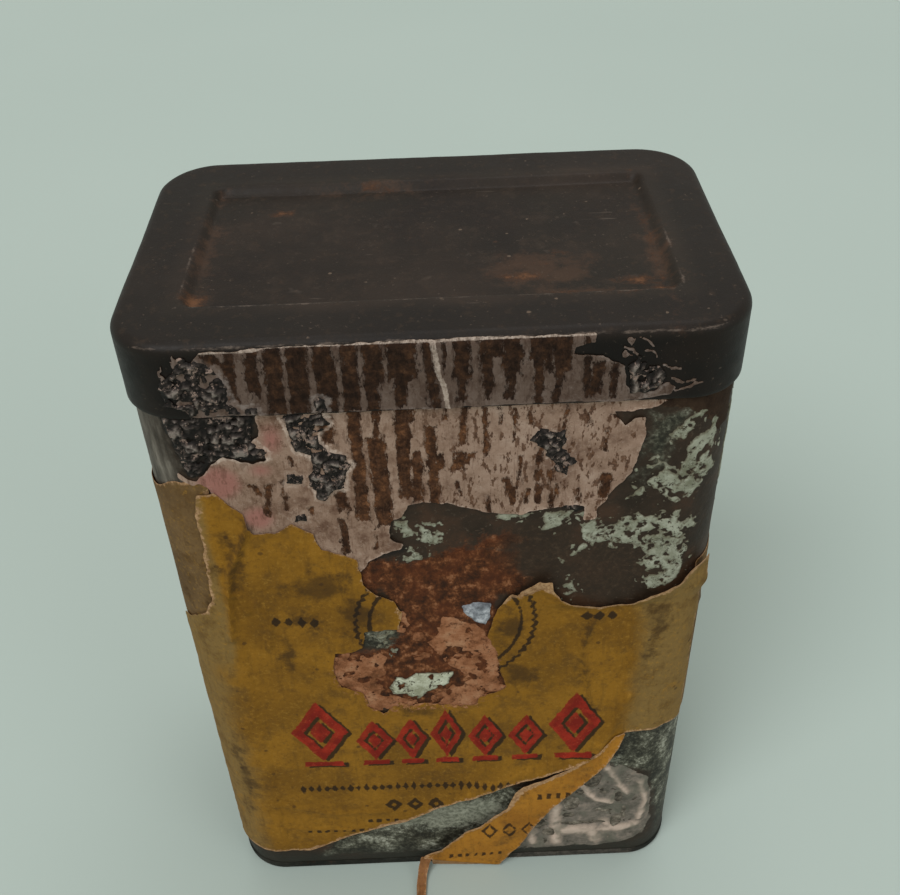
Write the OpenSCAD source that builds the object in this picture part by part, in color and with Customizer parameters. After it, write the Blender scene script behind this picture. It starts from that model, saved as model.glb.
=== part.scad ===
// Rectangular slip-lid spice tin with torn paper labels.
// The origin is the centre of the foot. +X runs along the front, -Y is the front, +Z is up.

/* [Tin] */
// Outside width of the body wall
body_w = 56; // [50:1:70]
// Outside depth of the body wall
body_d = 35.2; // [34:0.2:45]
// Overall height with the lid pushed home
tin_h = 83.3; // [70:0.1:110]
// Outside radius of the body's upright corners
corner_r = 5.6; // [5:0.1:8]
// Thickness of the tinplate
sheet_t = 0.3; // [0.25:0.05:0.35]

/* [Lid] */
// Height of the lid's skirt, shoulder included
skirt_h = 7.7; // [6:0.1:9]
// Clearance between the body wall and the skirt
lid_gap = 0.2; // [0.15:0.05:0.3]
// Outside radius of the shoulder between top and skirt
shoulder_r = 1.1; // [0.8:0.1:1.5]
// Width of the sunk panel in the top
panel_w = 45.4; // [40:0.2:46]
// Depth of the sunk panel, front to back
panel_d = 24; // [18:0.2:24.4]
// How far the panel sinks below the rim of the top
panel_drop = 0.8; // [0.5:0.1:1]
// Width of the slope around the panel
panel_slope = 1.2; // [0.8:0.1:1.4]

/* [Base] */
// Height of the folded seam outside the wall
seam_h = 1.4; // [1:0.1:2]
// Height of the floor's underside above the foot
floor_z = 1.5; // [1.2:0.1:2.5]

/* [Paper] */
// Thickness of a label with its glue
paper_t = 0.15; // [0.1:0.05:0.2]
// Thickness of the ply left where the printed face came away
ply_t = 0.1; // [0.1:0.05:0.15]

/* [Hidden] */

eps = 0.01;
arc_fn = 64;

// Lid and body rims
lid_w = body_w + 2 * (lid_gap + sheet_t);
lid_d = body_d + 2 * (lid_gap + sheet_t);
lid_r = corner_r + lid_gap + sheet_t;
skirt_z = tin_h - skirt_h;
panel_r = panel_slope + 0.3;
rim_z = tin_h - sheet_t - 0.2;
hem_h = 2.4;
hem_gap = 0.1;

// Base seam
fold_gap = 0.05;
fold_out = fold_gap + sheet_t;

// Side seam, a soldered lap up the inside of the back
lap_w = 4;
lap_top = rim_z - hem_h - 1;
lap_bottom = floor_z + sheet_t + 0.7;
solder_w = 0.8;
solder_bottom = lap_bottom + 0.5;
solder_top = lap_top - 0.5;

front_y = -body_d / 2;
lid_front_y = -lid_d / 2;

// Torn outlines of the paper, drawn on a tin 56 by 35.2 by 83.3 and stretched to this one
front_sx = (body_w / 2 - corner_r) / 22.4;
side_sy = body_d / 35.2;
paper_sz = tin_h / 83.3;
paper_edge_x = 22.8 * front_sx;

// Front paper, as [x, z] on the front face
front_label_outline = [
    [-22.2, 4.8], [-18, 4.8], [-13, 7.6], [-6, 10.6], [2, 15], [8, 18.6], [14, 21.2], [18, 24],
    [20.4, 27.5], [20.8, 38], [22, 51.2], [18.5, 49.6], [13.5, 49.6], [10.8, 52.6], [7.5, 51.6],
    [5.2, 49], [5.5, 42.6], [3.5, 37.4], [-1, 34.6], [-7, 32.8], [-8, 35], [-12.3, 40], [-11.6, 43],
    [-8.2, 44.2], [-5, 49], [-8.4, 54], [-9, 56.8], [-12.2, 59.6], [-17, 61.4], [-19, 62.8],
    [-21, 66], [-22.2, 65.6]];
label_ply_outline = [
    [-22.2, 68], [-20, 66], [-18, 63.4], [-15.4, 61.8], [-12.2, 60.2], [-8.6, 57.6], [-5.4, 58.4],
    [-4.6, 62], [-2, 63.6], [6, 62.8], [13.4, 63], [14.6, 61.4], [17.6, 66.2], [19, 72.6],
    [20.6, 74.4], [20.6, 75.4], [-22.2, 75.4]];
lid_label_outline = [
    [-21, 75.7], [18, 75.7], [20.4, 76.8], [18, 79.4], [14, 80.4], [13.6, 81.9], [-19.4, 81.9],
    [-21.8, 79.6]];

// Loose corner of the front label, as [x, distance up its own lean], and its tail as [x, y]
tongue_outline = [
    [-3.8, 0.2], [5.8, 0.2], [8.2, 3.6], [13, 13], [17.6, 21.8], [20, 25.6], [20.2, 28.4],
    [18.2, 26.4], [12.8, 19.8], [7.4, 16.6], [5.6, 13.6], [2.6, 8.4], [-1, 4.2]];
tongue_out = 1.6;
tongue_lean = asin((tongue_out - paper_t) / (28.4 * paper_sz));
tail_outline = [[-3.6, 0.1], [-2.2, 0.1], [-3, -2.6], [-4.2, -6.4], [-5, -6.2], [-4.2, -2.8]];
tail_z = 0.25;

// Side label, as [y, z] on the right and on the left
right_side_outline = [
    [-18, 26.5], [-13, 26.6], [-8, 22], [-3, 14], [3, 9], [9, 5.5], [18, 4.6], [18, 66], [12, 68],
    [6, 66], [0, 63], [-6, 60], [-10, 57], [-14, 54], [-18, 52]];
left_side_outline = [
    [-18, 4.8], [18, 4.6], [18, 66], [12, 67], [4, 69.5], [-4, 70], [-10, 68.6], [-18, 67.8]];

function stretch(outline, sx, sz) = [for (p = outline) [p[0] * sx, p[1] * sz]];

// Sweeps a profile, drawn as [outward, up] from the outside line, around a rounded rectangle.
module around(w, d, r) {
    for (side = [[w, d, 0], [d, w, 90], [w, d, 180], [d, w, 270]])
        rotate(side[2]) {
            translate([side[0] / 2, side[1] / 2 - r, 0])
                rotate([90, 0, 0])
                    linear_extrude(side[1] - 2 * r)
                        children();
            translate([side[0] / 2 - r, side[1] / 2 - r, 0])
                rotate_extrude(angle = 90, $fn = arc_fn)
                    translate([r, 0])
                        children();
        }
}

// Flat plate with rounded corners.
module plate(w, d, r, t) {
    linear_extrude(t) {
        square([w - 2 * r, d], center = true);
        square([w, d - 2 * r], center = true);
        for (x = [-1, 1], y = [-1, 1])
            translate([x * (w / 2 - r), y * (d / 2 - r)])
                circle(r, $fn = arc_fn);
    }
}

// Quarter ring, the section of a rounded edge, centred on its own axis.
module quarter_ring(r, t) {
    intersection() {
        difference() {
            circle(r, $fn = arc_fn);
            circle(r - t, $fn = arc_fn);
        }
        square(r + 1);
    }
}

// Thin sheet with an [x, z] outline, glued to the front of the plane y.
module standing_sheet(outline, y, t) {
    translate([0, y, 0])
        rotate([90, 0, 0])
            linear_extrude(t)
                polygon(stretch(outline, front_sx, paper_sz));
}

// Drawn lid: skirt, rounded shoulder, flat rim and sunk panel, all one sheet.
module lid() {
    color([0.15, 0.12, 0.11]) {
        around(lid_w, lid_d, lid_r) {
            union() {
                translate([-sheet_t, skirt_z])
                    square([sheet_t, skirt_h - shoulder_r]);
                translate([-shoulder_r, tin_h - shoulder_r])
                    quarter_ring(shoulder_r, sheet_t);
            }
        }
        translate([0, 0, tin_h - sheet_t])
            difference() {
                plate(lid_w - 2 * shoulder_r, lid_d - 2 * shoulder_r, lid_r - shoulder_r, sheet_t);
                translate([0, 0, -1])
                    plate(panel_w, panel_d, panel_r, 2);
            }
        translate([0, 0, tin_h])
            around(panel_w, panel_d, panel_r)
                polygon([[0, 0], [0, -sheet_t], [-panel_slope, -panel_drop - sheet_t],
                         [-panel_slope, -panel_drop]]);
        translate([0, 0, tin_h - panel_drop - sheet_t])
            plate(panel_w - 2 * panel_slope, panel_d - 2 * panel_slope, panel_r - panel_slope,
                  sheet_t);
    }
}

// Body: one bent sheet with a hem folded in at the top and its back edges lapped over a strip.
module body_wall() {
    hem_in = sheet_t + hem_gap / 2;
    color([0.27, 0.2, 0.17]) {
        difference() {
            around(body_w, body_d, corner_r) {
                union() {
                    translate([-sheet_t, sheet_t])
                        square([sheet_t, rim_z - hem_in - sheet_t]);
                    translate([-hem_in, rim_z - hem_in])
                        quarter_ring(hem_in, sheet_t);
                    translate([-hem_in, rim_z - hem_in])
                        mirror([1, 0])
                            quarter_ring(hem_in, sheet_t);
                    translate([-2 * hem_in, rim_z - hem_h])
                        square([sheet_t, hem_h - hem_in]);
                }
            }
            translate([-solder_w / 2, body_d / 2 - sheet_t, solder_bottom])
                cube([solder_w, 2 * sheet_t, solder_top - solder_bottom]);
        }
        translate([-lap_w / 2, body_d / 2 - 2 * sheet_t, lap_bottom])
            cube([lap_w, sheet_t, lap_top - lap_bottom]);
    }
}

// Base: a pressed pan whose edge folds under and around the foot of the wall.
module base() {
    inner = sheet_t + fold_gap;
    color([0.2, 0.18, 0.17]) {
        around(body_w, body_d, corner_r)
            polygon([
                [fold_out, seam_h], [fold_gap, seam_h], [fold_gap, sheet_t], [-inner, sheet_t],
                [-inner, floor_z + sheet_t], [-inner - 2 * sheet_t, floor_z + sheet_t],
                [-inner - 2 * sheet_t, floor_z], [-inner - sheet_t, floor_z],
                [-inner - sheet_t, 0], [fold_gap, 0], [fold_out, 0.25]]);
        translate([0, 0, floor_z])
            plate(body_w - 2 * (inner + 2 * sheet_t - eps), body_d - 2 * (inner + 2 * sheet_t - eps),
                  corner_r - inner - 2 * sheet_t + eps, sheet_t);
    }
}

// Solder filling the slit between the two back edges, flush with the wall.
module side_seam_solder() {
    color([0.55, 0.55, 0.54])
        translate([-solder_w / 2, body_d / 2 - sheet_t, solder_bottom])
            cube([solder_w, sheet_t, solder_top - solder_bottom]);
}

// Printed label still glued to the lower front.
module front_label() {
    color([0.62, 0.44, 0.12])
        standing_sheet(front_label_outline, front_y, paper_t);
}

// Ply of the same label left on the upper front.
module label_ply() {
    color([0.62, 0.48, 0.43])
        standing_sheet(label_ply_outline, front_y, ply_t);
}

// Ply of the same label left on the front of the skirt.
module lid_label_ply() {
    color([0.6, 0.47, 0.42])
        standing_sheet(lid_label_outline, lid_front_y, ply_t);
}

// Torn corner of the front label, hanging clear of the face, with a narrow tail at its foot.
module label_tongue() {
    foot_y = front_y - tongue_out;
    color([0.72, 0.5, 0.14]) {
        translate([0, foot_y, 0])
            rotate([90 - tongue_lean, 0, 0])
                linear_extrude(paper_t)
                    polygon(stretch(tongue_outline, front_sx, paper_sz));
        translate([0, foot_y - paper_t, tail_z])
            linear_extrude(paper_t)
                polygon(stretch(tail_outline, front_sx, 1));
    }
}

// Side label: one wrap from the right front corner, around the back, to the left front corner.
module side_label() {
    color([0.5, 0.4, 0.26])
        difference() {
            intersection() {
                around(body_w, body_d, corner_r)
                    square([paper_t, skirt_z]);
                union() {
                    rotate([90, 0, 90])
                        linear_extrude(body_w)
                            polygon(stretch(right_side_outline, side_sy, paper_sz));
                    translate([-body_w, 0, 0])
                        rotate([90, 0, 90])
                            linear_extrude(body_w)
                                polygon(stretch(left_side_outline, side_sy, paper_sz));
                }
            }
            translate([-paper_edge_x, front_y - 1, -1])
                cube([2 * paper_edge_x, 2, tin_h]);
        }
}

lid();
body_wall();
base();
side_seam_solder();
front_label();
label_ply();
lid_label_ply();
label_tongue();
side_label();
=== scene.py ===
import math

import bmesh
import bpy
import numpy as np
from mathutils import Matrix, Vector


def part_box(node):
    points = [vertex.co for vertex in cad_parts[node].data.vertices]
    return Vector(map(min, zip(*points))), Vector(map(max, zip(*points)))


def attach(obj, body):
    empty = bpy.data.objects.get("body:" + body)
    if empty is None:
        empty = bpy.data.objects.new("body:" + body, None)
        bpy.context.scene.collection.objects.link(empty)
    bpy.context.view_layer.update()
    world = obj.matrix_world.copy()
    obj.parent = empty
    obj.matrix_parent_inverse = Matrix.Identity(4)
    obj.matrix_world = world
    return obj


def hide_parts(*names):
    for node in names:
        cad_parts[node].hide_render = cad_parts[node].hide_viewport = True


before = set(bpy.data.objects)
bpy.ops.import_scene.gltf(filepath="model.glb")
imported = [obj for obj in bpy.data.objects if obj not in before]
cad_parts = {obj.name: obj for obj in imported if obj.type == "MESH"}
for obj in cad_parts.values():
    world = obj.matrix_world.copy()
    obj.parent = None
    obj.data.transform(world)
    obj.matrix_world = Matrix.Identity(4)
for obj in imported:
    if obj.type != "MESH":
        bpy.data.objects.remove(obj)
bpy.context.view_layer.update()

# Sizes below are in millimetres unless they say otherwise. x, y and z are the frame's axes. On the wrap, s
# runs round the tin from the middle of the front, to the right first, and z is the height.
MM = 0.001


def node_box(node):
    """Lowest and highest corner of a CAD node, in mm."""
    low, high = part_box(node)
    return np.array(low) / MM, np.array(high) / MM


WALL_LOW, WALL_HIGH = node_box("body_wall")
LID_LOW, LID_HIGH = node_box("lid")
BASE_HIGH = node_box("base")[1]
HALF_W, HALF_D, RIM_Z = WALL_HIGH
FOOT_Z = WALL_LOW[2]
SKIRT_Z, TOP_Z = LID_LOW[2], LID_HIGH[2]
LID_OUT = LID_HIGH[0] - HALF_W
SEAM_OUT = min(BASE_HIGH[0] - HALF_W, 0.1)
SHEET = 0.3
WELD = 0.004
# How near to a corner of its grid a sheet may be cut, as a share of the grid's step
NEAREST = 0.06
CORNER_R = 5.6
SHOULDER_R = 1.1
FLAT_X, FLAT_Y = HALF_W - CORNER_R, HALF_D - CORNER_R
QUARTER = CORNER_R * math.pi / 2
# Distances round the outline from the front's middle to each change between flat and corner
KNOTS = np.cumsum([0, FLAT_X, QUARTER, 2 * FLAT_Y, QUARTER, FLAT_X])
HALF_ROUND = KNOTS[-1]
CORNERS = [(-1, -1), (1, -1), (1, 1), (-1, 1)]


# ---------------------------------------------------------------- noise and fields

def lattice(ix, iy, seed):
    """A repeatable random number from -1 to 1 for each whole-number point."""
    h = (ix * 374761393 + iy * 668265263 + seed * 974711) & 0xFFFFFFFF
    h = ((h ^ (h >> 13)) * 1274126177) & 0xFFFFFFFF
    return ((h ^ (h >> 16)) & 0xFFFF) / 32767.5 - 1


def grain(x, y, size, seed=0):
    """Smooth random values from -1 to 1 with bumps about size across."""
    x, y = np.asarray(x, float) / size, np.asarray(y, float) / size
    ix, iy = np.floor(x).astype(np.int64), np.floor(y).astype(np.int64)
    fx, fy = x - ix, y - iy
    fx, fy = fx * fx * (3 - 2 * fx), fy * fy * (3 - 2 * fy)
    low = lattice(ix, iy, seed) * (1 - fx) + lattice(ix + 1, iy, seed) * fx
    high = lattice(ix, iy + 1, seed) * (1 - fx) + lattice(ix + 1, iy + 1, seed) * fx
    return low * (1 - fy) + high * fy


def rough(x, y, size, seed=0, octaves=3):
    """Grain at several sizes, each half the last, from about -1 to 1."""
    total, weight, share = 0, 0, 1
    for k in range(octaves):
        total = total + share * grain(x, y, size / 2**k, seed + 31 * k)
        weight += share
        share *= 0.6
    return total / weight


def off_segment(ax, ay, bx, by, x, y):
    """Distance in mm from the straight line between two points."""
    dx, dy = bx - ax, by - ay
    t = np.clip(((x - ax) * dx + (y - ay) * dy) / (dx * dx + dy * dy), 0, 1)
    return np.hypot(x - ax - t * dx, y - ay - t * dy)


def along(points, x, y):
    """Distance in mm from an open line."""
    return np.min([off_segment(*a, *b, x, y) for a, b in zip(points, points[1:])], axis=0)


def inside(points, x, y):
    """Distance in mm inside a closed outline, negative outside it."""
    odd = np.zeros(np.shape(x), bool)
    for (ax, ay), (bx, by) in zip(points, points[1:] + points[:1]):
        climb = by - ay if by != ay else 1e-9
        odd ^= ((ay > y) != (by > y)) & (x < (bx - ax) * (y - ay) / climb + ax)
    best = along(points + points[:1], x, y)
    return np.where(odd, best, -best)


def torn(points, ragged=0.3, size=1.3, seed=0):
    """Field of a torn outline: mm inside it, its line made ragged."""
    def field(x, y):
        wx = ragged * rough(x, y, size, seed, 4)
        wy = ragged * rough(x, y, size, seed + 7, 4)
        return inside(points, x + wx, y + wy)

    return field


def blob(x, y, cx, cy, rx, ry):
    """Field of an ellipse, about mm inside it."""
    return (1 - np.hypot((x - cx) / rx, (y - cy) / ry)) * min(rx, ry)


def blobs(x, y, spots):
    """Field of several ellipses together, each given as (x, y, half width, half height)."""
    return np.max([blob(x, y, *spot) for spot in spots], axis=0)


def rise(edge, reach):
    """0 at a sheet's edge, 1 from reach mm inside it."""
    return np.clip(edge / reach, 0, 1)


def fade(edge, reach):
    """1 at a sheet's edge, dying away over about reach mm inside it."""
    return np.exp(-np.clip(edge, 0, None) / reach)


def plain_mark(value):
    """A mark that is the same all over a piece."""
    return lambda x, y, edge: value + 0 * x


def bell(distance, width):
    """1 at no distance, falling smoothly to nothing past width."""
    return np.exp(-(distance / width) ** 2)


def smooth(value, low, high):
    """0 below low, 1 above high, smooth between."""
    t = np.clip((value - low) / (high - low), 0, 1)
    return t * t * (3 - 2 * t)


# ---------------------------------------------------------------- the tin's outline

def wrapped(s):
    """Brings a distance round the outline back into its own range."""
    return (np.asarray(s, float) + HALF_ROUND) % (2 * HALF_ROUND) - HALF_ROUND


def round_at(s):
    """Normal's angle, corner centre as shares of the flats, and side, at s round the tin."""
    s = wrapped(s)
    t = np.abs(s)
    angle = np.interp(t, KNOTS, np.array([0, 0, 1, 1, 2, 2]) * math.pi / 2)
    share_x = np.interp(t, KNOTS, [0, 1, 1, 1, 1, 0])
    share_y = np.interp(t, KNOTS, [-1, -1, -1, 1, 1, 1])
    return angle, share_x, share_y, np.where(s < 0, -1, 1)


# How far the faces bow out, and from which height to which
BOW, BOW_LOW, BOW_HIGH = 0.28, 2, 73


def bow(s, z):
    """How far the old sheet stands out from true: bowed faces and soft dents, none near the lid."""
    s = wrapped(s)
    angle, share_x, share_y, _ = round_at(s)
    face = (1 - share_x**2) * np.cos(angle) ** 2 + (1 - share_y**2) * np.sin(angle) ** 2
    height = np.clip((z - BOW_LOW) * (BOW_HIGH - z), 0, None) / ((BOW_HIGH - BOW_LOW) / 2) ** 2
    return height * (BOW * face + 0.1 * rough(s, z, 13, 3, 2) * np.minimum(face * 3, 1))


def around(s, flat_x, flat_y, reach, z):
    """Points round a rounded rectangle, reach mm out from its corners' centres."""
    angle, share_x, share_y, side = round_at(s)
    x = side * (share_x * flat_x + reach * np.sin(angle))
    y = share_y * flat_y - reach * np.cos(angle)
    return np.stack([x, y, z + 0 * x], -1)


def on_wall(s, z, out):
    """Points on the body, out mm outside its sheet."""
    return around(s, FLAT_X, FLAT_Y, CORNER_R + out + bow(s, z), z)


def on_skirt(s, z, out):
    """Points on the lid's skirt, out mm outside it."""
    over = np.clip(z - (TOP_Z - SHOULDER_R), 0, SHOULDER_R)
    reach = CORNER_R + LID_OUT + out + skirt_wave(s, z) + np.sqrt(SHOULDER_R**2 - over**2) - SHOULDER_R
    return around(s, FLAT_X, FLAT_Y, reach, z)


def skirt_wave(s, z):
    """Soft dents in the lid's skirt, never far enough in to meet the body."""
    s = wrapped(s)
    return 0.05 * rough(s, z, 9, 21, 2) + 0.02 * rough(s, z, 2.5, 22, 2)


def ring(s, width, depth, radius, z):
    """A rounded rectangle at height z, with one point for each s."""
    return around(s, width / 2 - radius, depth / 2 - radius, radius, z)


# ---------------------------------------------------------------- making pieces

def put(name, data):
    """An object that shows the data, in the scene."""
    made = bpy.data.objects.new(name, data)
    bpy.context.scene.collection.objects.link(made)
    return made


def add_piece(name, points, faces, values, material, body, nodes=(), sharp=50):
    """A mesh piece with named values on its points, riding on a body; creased past sharp degrees."""
    mesh = bpy.data.meshes.new(name)
    mesh.from_pydata((points * MM).tolist(), [], faces)
    for key, array in values.items():
        layer = mesh.attributes.new(key, "FLOAT", "POINT")
        layer.data.foreach_set("value", np.asarray(array, np.float32))
    mesh.polygons.foreach_set("use_smooth", np.ones(len(mesh.polygons), bool))
    mesh.set_sharp_from_angle(angle=math.radians(sharp))
    mesh.materials.append(material)
    piece = put(name, mesh)
    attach(piece, body)
    if nodes:
        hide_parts(*nodes)
    return piece


def cut(box, step, field):
    """Cuts a grid to where field > 0. Returns its points, polygons, and rim edges."""
    low_x, high_x, low_y, high_y = box
    X, Y = np.meshgrid(np.arange(low_x, high_x + step, step), np.arange(low_y, high_y + step, step),
                       indexing="ij")
    value = field(X, Y)
    for edge in (value[0], value[-1], value[:, 0], value[:, -1]):
        np.minimum(edge, -0.01, out=edge)
    grid = np.stack([X.ravel(), Y.ravel()], -1)
    value = value.ravel()
    held = value > 0
    ids = np.arange(X.size).reshape(X.shape)
    corners = np.stack([ids[:-1, :-1], ids[1:, :-1], ids[1:, 1:], ids[:-1, 1:]], -1).reshape(-1, 4)
    count = held[corners].sum(1)
    crossings, extra, faces, rims = {}, [], corners[count == 4].tolist(), []

    def crossing(a, b):
        key = (min(a, b), max(a, b))
        if key not in crossings:
            share = value[key[0]] / (value[key[0]] - value[key[1]])
            share = min(max(share, NEAREST), 1 - NEAREST)
            crossings[key] = len(grid) + len(extra)
            extra.append(grid[key[0]] * (1 - share) + grid[key[1]] * share)
        return crossings[key]

    for cell in corners[(count > 0) & (count < 4)].tolist():
        face = []
        for a, b in zip(cell, cell[1:] + cell[:1]):
            if held[a]:
                face.append(a)
            if held[a] != held[b]:
                face.append(crossing(a, b))
        faces.append(face)
        rims += [(p, q) for p, q in zip(face, face[1:] + face[:1]) if min(p, q) >= len(grid)]
    everything = np.concatenate([grid, np.array(extra).reshape(-1, 2)])
    used = np.zeros(len(everything), bool)
    used[[i for face in faces for i in face]] = True
    new = np.cumsum(used) - 1
    new_list = new.tolist()
    faces = [[new_list[i] for i in face] for face in faces]
    rims = [(new_list[p], new_list[q]) for p, q in rims]
    return everything[used], faces, rims


def sheet(name, box, step, field, place, lift, thick, values, material, body, nodes=()):
    """A thin closed sheet cut to a field, with a lower and an upper face thick apart."""
    flat, faces, rims = cut(box, step, field)
    x, y = flat.T
    edge = field(x, y)
    low = lift(x, y, edge)
    points = np.concatenate([place(x, y, low + thick(x, y, edge)), place(x, y, low)])
    n = len(flat)
    closed = faces + [[i + n for i in reversed(face)] for face in faces]
    closed += [(q, p, p + n, q + n) for p, q in rims]
    marks = {key: np.tile(make(x, y, edge), 2) for key, make in values.items()}
    marks["edge"] = np.tile(edge, 2)
    marks["under"] = np.repeat([0.0, 1.0], n)
    return add_piece(name, points, closed, marks, material, body, nodes)


def loft(name, rows, marks, material, body, nodes=()):
    """A closed skin through rings of points, the last ring joined to the first."""
    n, count = len(rows[0]), len(rows)
    faces = []
    for k in range(count):
        a, b = k * n, (k + 1) % count * n
        faces += [(a + i, a + (i + 1) % n, b + (i + 1) % n, b + i) for i in range(n)]
    return add_piece(name, np.concatenate(rows), faces, marks, material, body, nodes, 40)


def weld(piece):
    """Joins points that lie on each other and drops the faces that vanish."""
    work = bmesh.new()
    work.from_mesh(piece.data)
    bmesh.ops.remove_doubles(work, verts=work.verts, dist=WELD * MM)
    bmesh.ops.dissolve_degenerate(work, edges=work.edges, dist=WELD * MM / 4)
    work.to_mesh(piece.data)
    work.free()


# ---------------------------------------------------------------- materials

def screen(colour):
    """A colour from 0 to 255 as the linear colour a shader takes; a node's colour as it is."""
    if isinstance(colour, bpy.types.NodeSocket):
        return colour
    return tuple(((c / 255 + 0.055) / 1.055) ** 2.4 if c > 10 else c / 3295 for c in colour) + (1,)


class Shade:
    """One material, built up colour over colour. Sizes are in mm, colours from 0 to 255."""

    def __init__(self, name, specular, metallic=0.0, roughness=0.9):
        self.material = bpy.data.materials.new(name)
        self.material.use_nodes = True
        self.tree = self.material.node_tree
        self.shader = self.tree.nodes["Principled BSDF"]
        for key, value in (("Roughness", roughness), ("Specular IOR Level", specular),
                           ("Metallic", metallic)):
            self.shader.inputs[key].default_value = value
        position = self.tree.nodes.new("ShaderNodeTexCoord").outputs["Object"]
        self.place = self.vector("MULTIPLY", position, (1 / MM,) * 3)
        self.colour = None

    def node(self, kind, inputs, **settings):
        """A node with its inputs linked to sockets or set to values."""
        made = self.tree.nodes.new(kind)
        for key, value in settings.items():
            setattr(made, key, value)
        for key, value in inputs.items():
            if isinstance(value, bpy.types.NodeSocket):
                self.tree.links.new(value, made.inputs[key])
            else:
                made.inputs[key].default_value = value
        return made

    def vector(self, operation, a, b):
        return self.node("ShaderNodeVectorMath", {0: a, 1: b}, operation=operation).outputs[0]

    def math(self, operation, a, b):
        return self.node("ShaderNodeMath", {0: a, 1: b}, operation=operation).outputs[0]

    def mark(self, name):
        """A value stored on the mesh's points."""
        return self.node("ShaderNodeAttribute", {}, attribute_name=name).outputs["Fac"]

    def noise(self, size, detail=4, rough=0.6, stretch=(1, 1, 1), seed=0, warp=0.0):
        """Noise from 0 to 1 with bumps about size mm across, stretched along an axis."""
        scaled = self.vector("MULTIPLY", self.place, [1 / size / k for k in stretch])
        moved = self.vector("ADD", scaled, (seed * 7.3, seed * 3.1, seed * 5.7))
        inputs = {"Vector": moved, "Scale": 1.0, "Detail": detail, "Roughness": rough, "Distortion": warp}
        return self.node("ShaderNodeTexNoise", inputs).outputs[0]

    def cells(self, size, seed=0):
        """Distance to scattered points about size mm apart."""
        moved = self.vector("ADD", self.vector("MULTIPLY", self.place, (1 / size,) * 3), (seed * 2.3,) * 3)
        return self.node("ShaderNodeTexVoronoi", {"Vector": moved, "Scale": 1.0}).outputs["Distance"]

    def times(self, a, b):
        return self.math("MULTIPLY", a, b)

    def sum(self, *terms):
        """Adds values; a (socket, share) pair is scaled by its share first."""
        total = None
        for term in terms:
            if isinstance(term, tuple):
                term = self.times(*term)
            total = term if total is None else self.math("ADD", total, term)
        return total

    def step(self, value, low, high):
        """0 below low, 1 above high, smooth between; low may be the greater."""
        inputs = {"Value": value, "From Min": low, "From Max": high}
        return self.node("ShaderNodeMapRange", inputs, interpolation_type="SMOOTHSTEP").outputs[0]

    def ramp(self, value, *stops):
        """The colour that a value picks from stops of (value, colour)."""
        made = self.node("ShaderNodeValToRGB", {0: value})
        points = made.color_ramp.elements
        for point, (position, colour) in zip(points, (stops[0], stops[-1])):
            point.position, point.color = position, screen(colour)
        for position, colour in stops[1:-1]:
            points.new(position).color = screen(colour)
        return made.outputs[0]

    def mix(self, share, a, b):
        """Colour a where share is 0, b where it is 1."""
        return self.node("ShaderNodeMix", {0: share, 6: screen(a), 7: screen(b)}, data_type="RGBA").outputs[2]

    def lay(self, colour, share, strength=None):
        """Lays a colour over what is there so far, as far as share from 0 to 1 and strength let it cover."""
        if strength is not None:
            share = self.times(share, strength)
        self.colour = self.mix(share, self.colour, colour)

    def finish(self, roughness=None, height=None, depth=0.1):
        """Connects the results; depth is how many mm the height from 0 to 1 stands for."""
        results = {"Base Color": self.colour}
        if roughness is not None:
            results["Roughness"] = roughness
        if height is not None:
            results["Normal"] = self.node("ShaderNodeBump", {"Height": height, "Distance": depth * MM,
                                                             "Strength": 1.0}).outputs[0]
        for key, value in results.items():
            self.tree.links.new(value, self.shader.inputs[key])
        return self.material


def old_tin(m):
    """Colour of the tin's unpainted inside: dull tinplate, tarnished in clouds and spotted with rust."""
    cloud, fine = m.noise(7, 5, 0.65, seed=41), m.noise(0.6, 5, 0.75, seed=42)
    colour = m.ramp(m.sum((cloud, 0.8), (fine, 0.3), -0.05), (0.36, (66, 59, 49)), (0.48, (92, 85, 74)),
                    (0.58, (112, 106, 95)), (0.7, (134, 128, 117)))
    spots = m.step(m.noise(1.7, 6, 0.8, seed=43), 0.58, 0.66)
    colour = m.mix(m.times(spots, 0.7), colour, (88, 58, 39))
    drag = m.step(m.noise(0.35, 3, 0.6, stretch=(1, 1, 10), seed=44), 0.6, 0.7)
    return m.mix(m.times(drag, 0.35), colour, (142, 136, 126))


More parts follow.
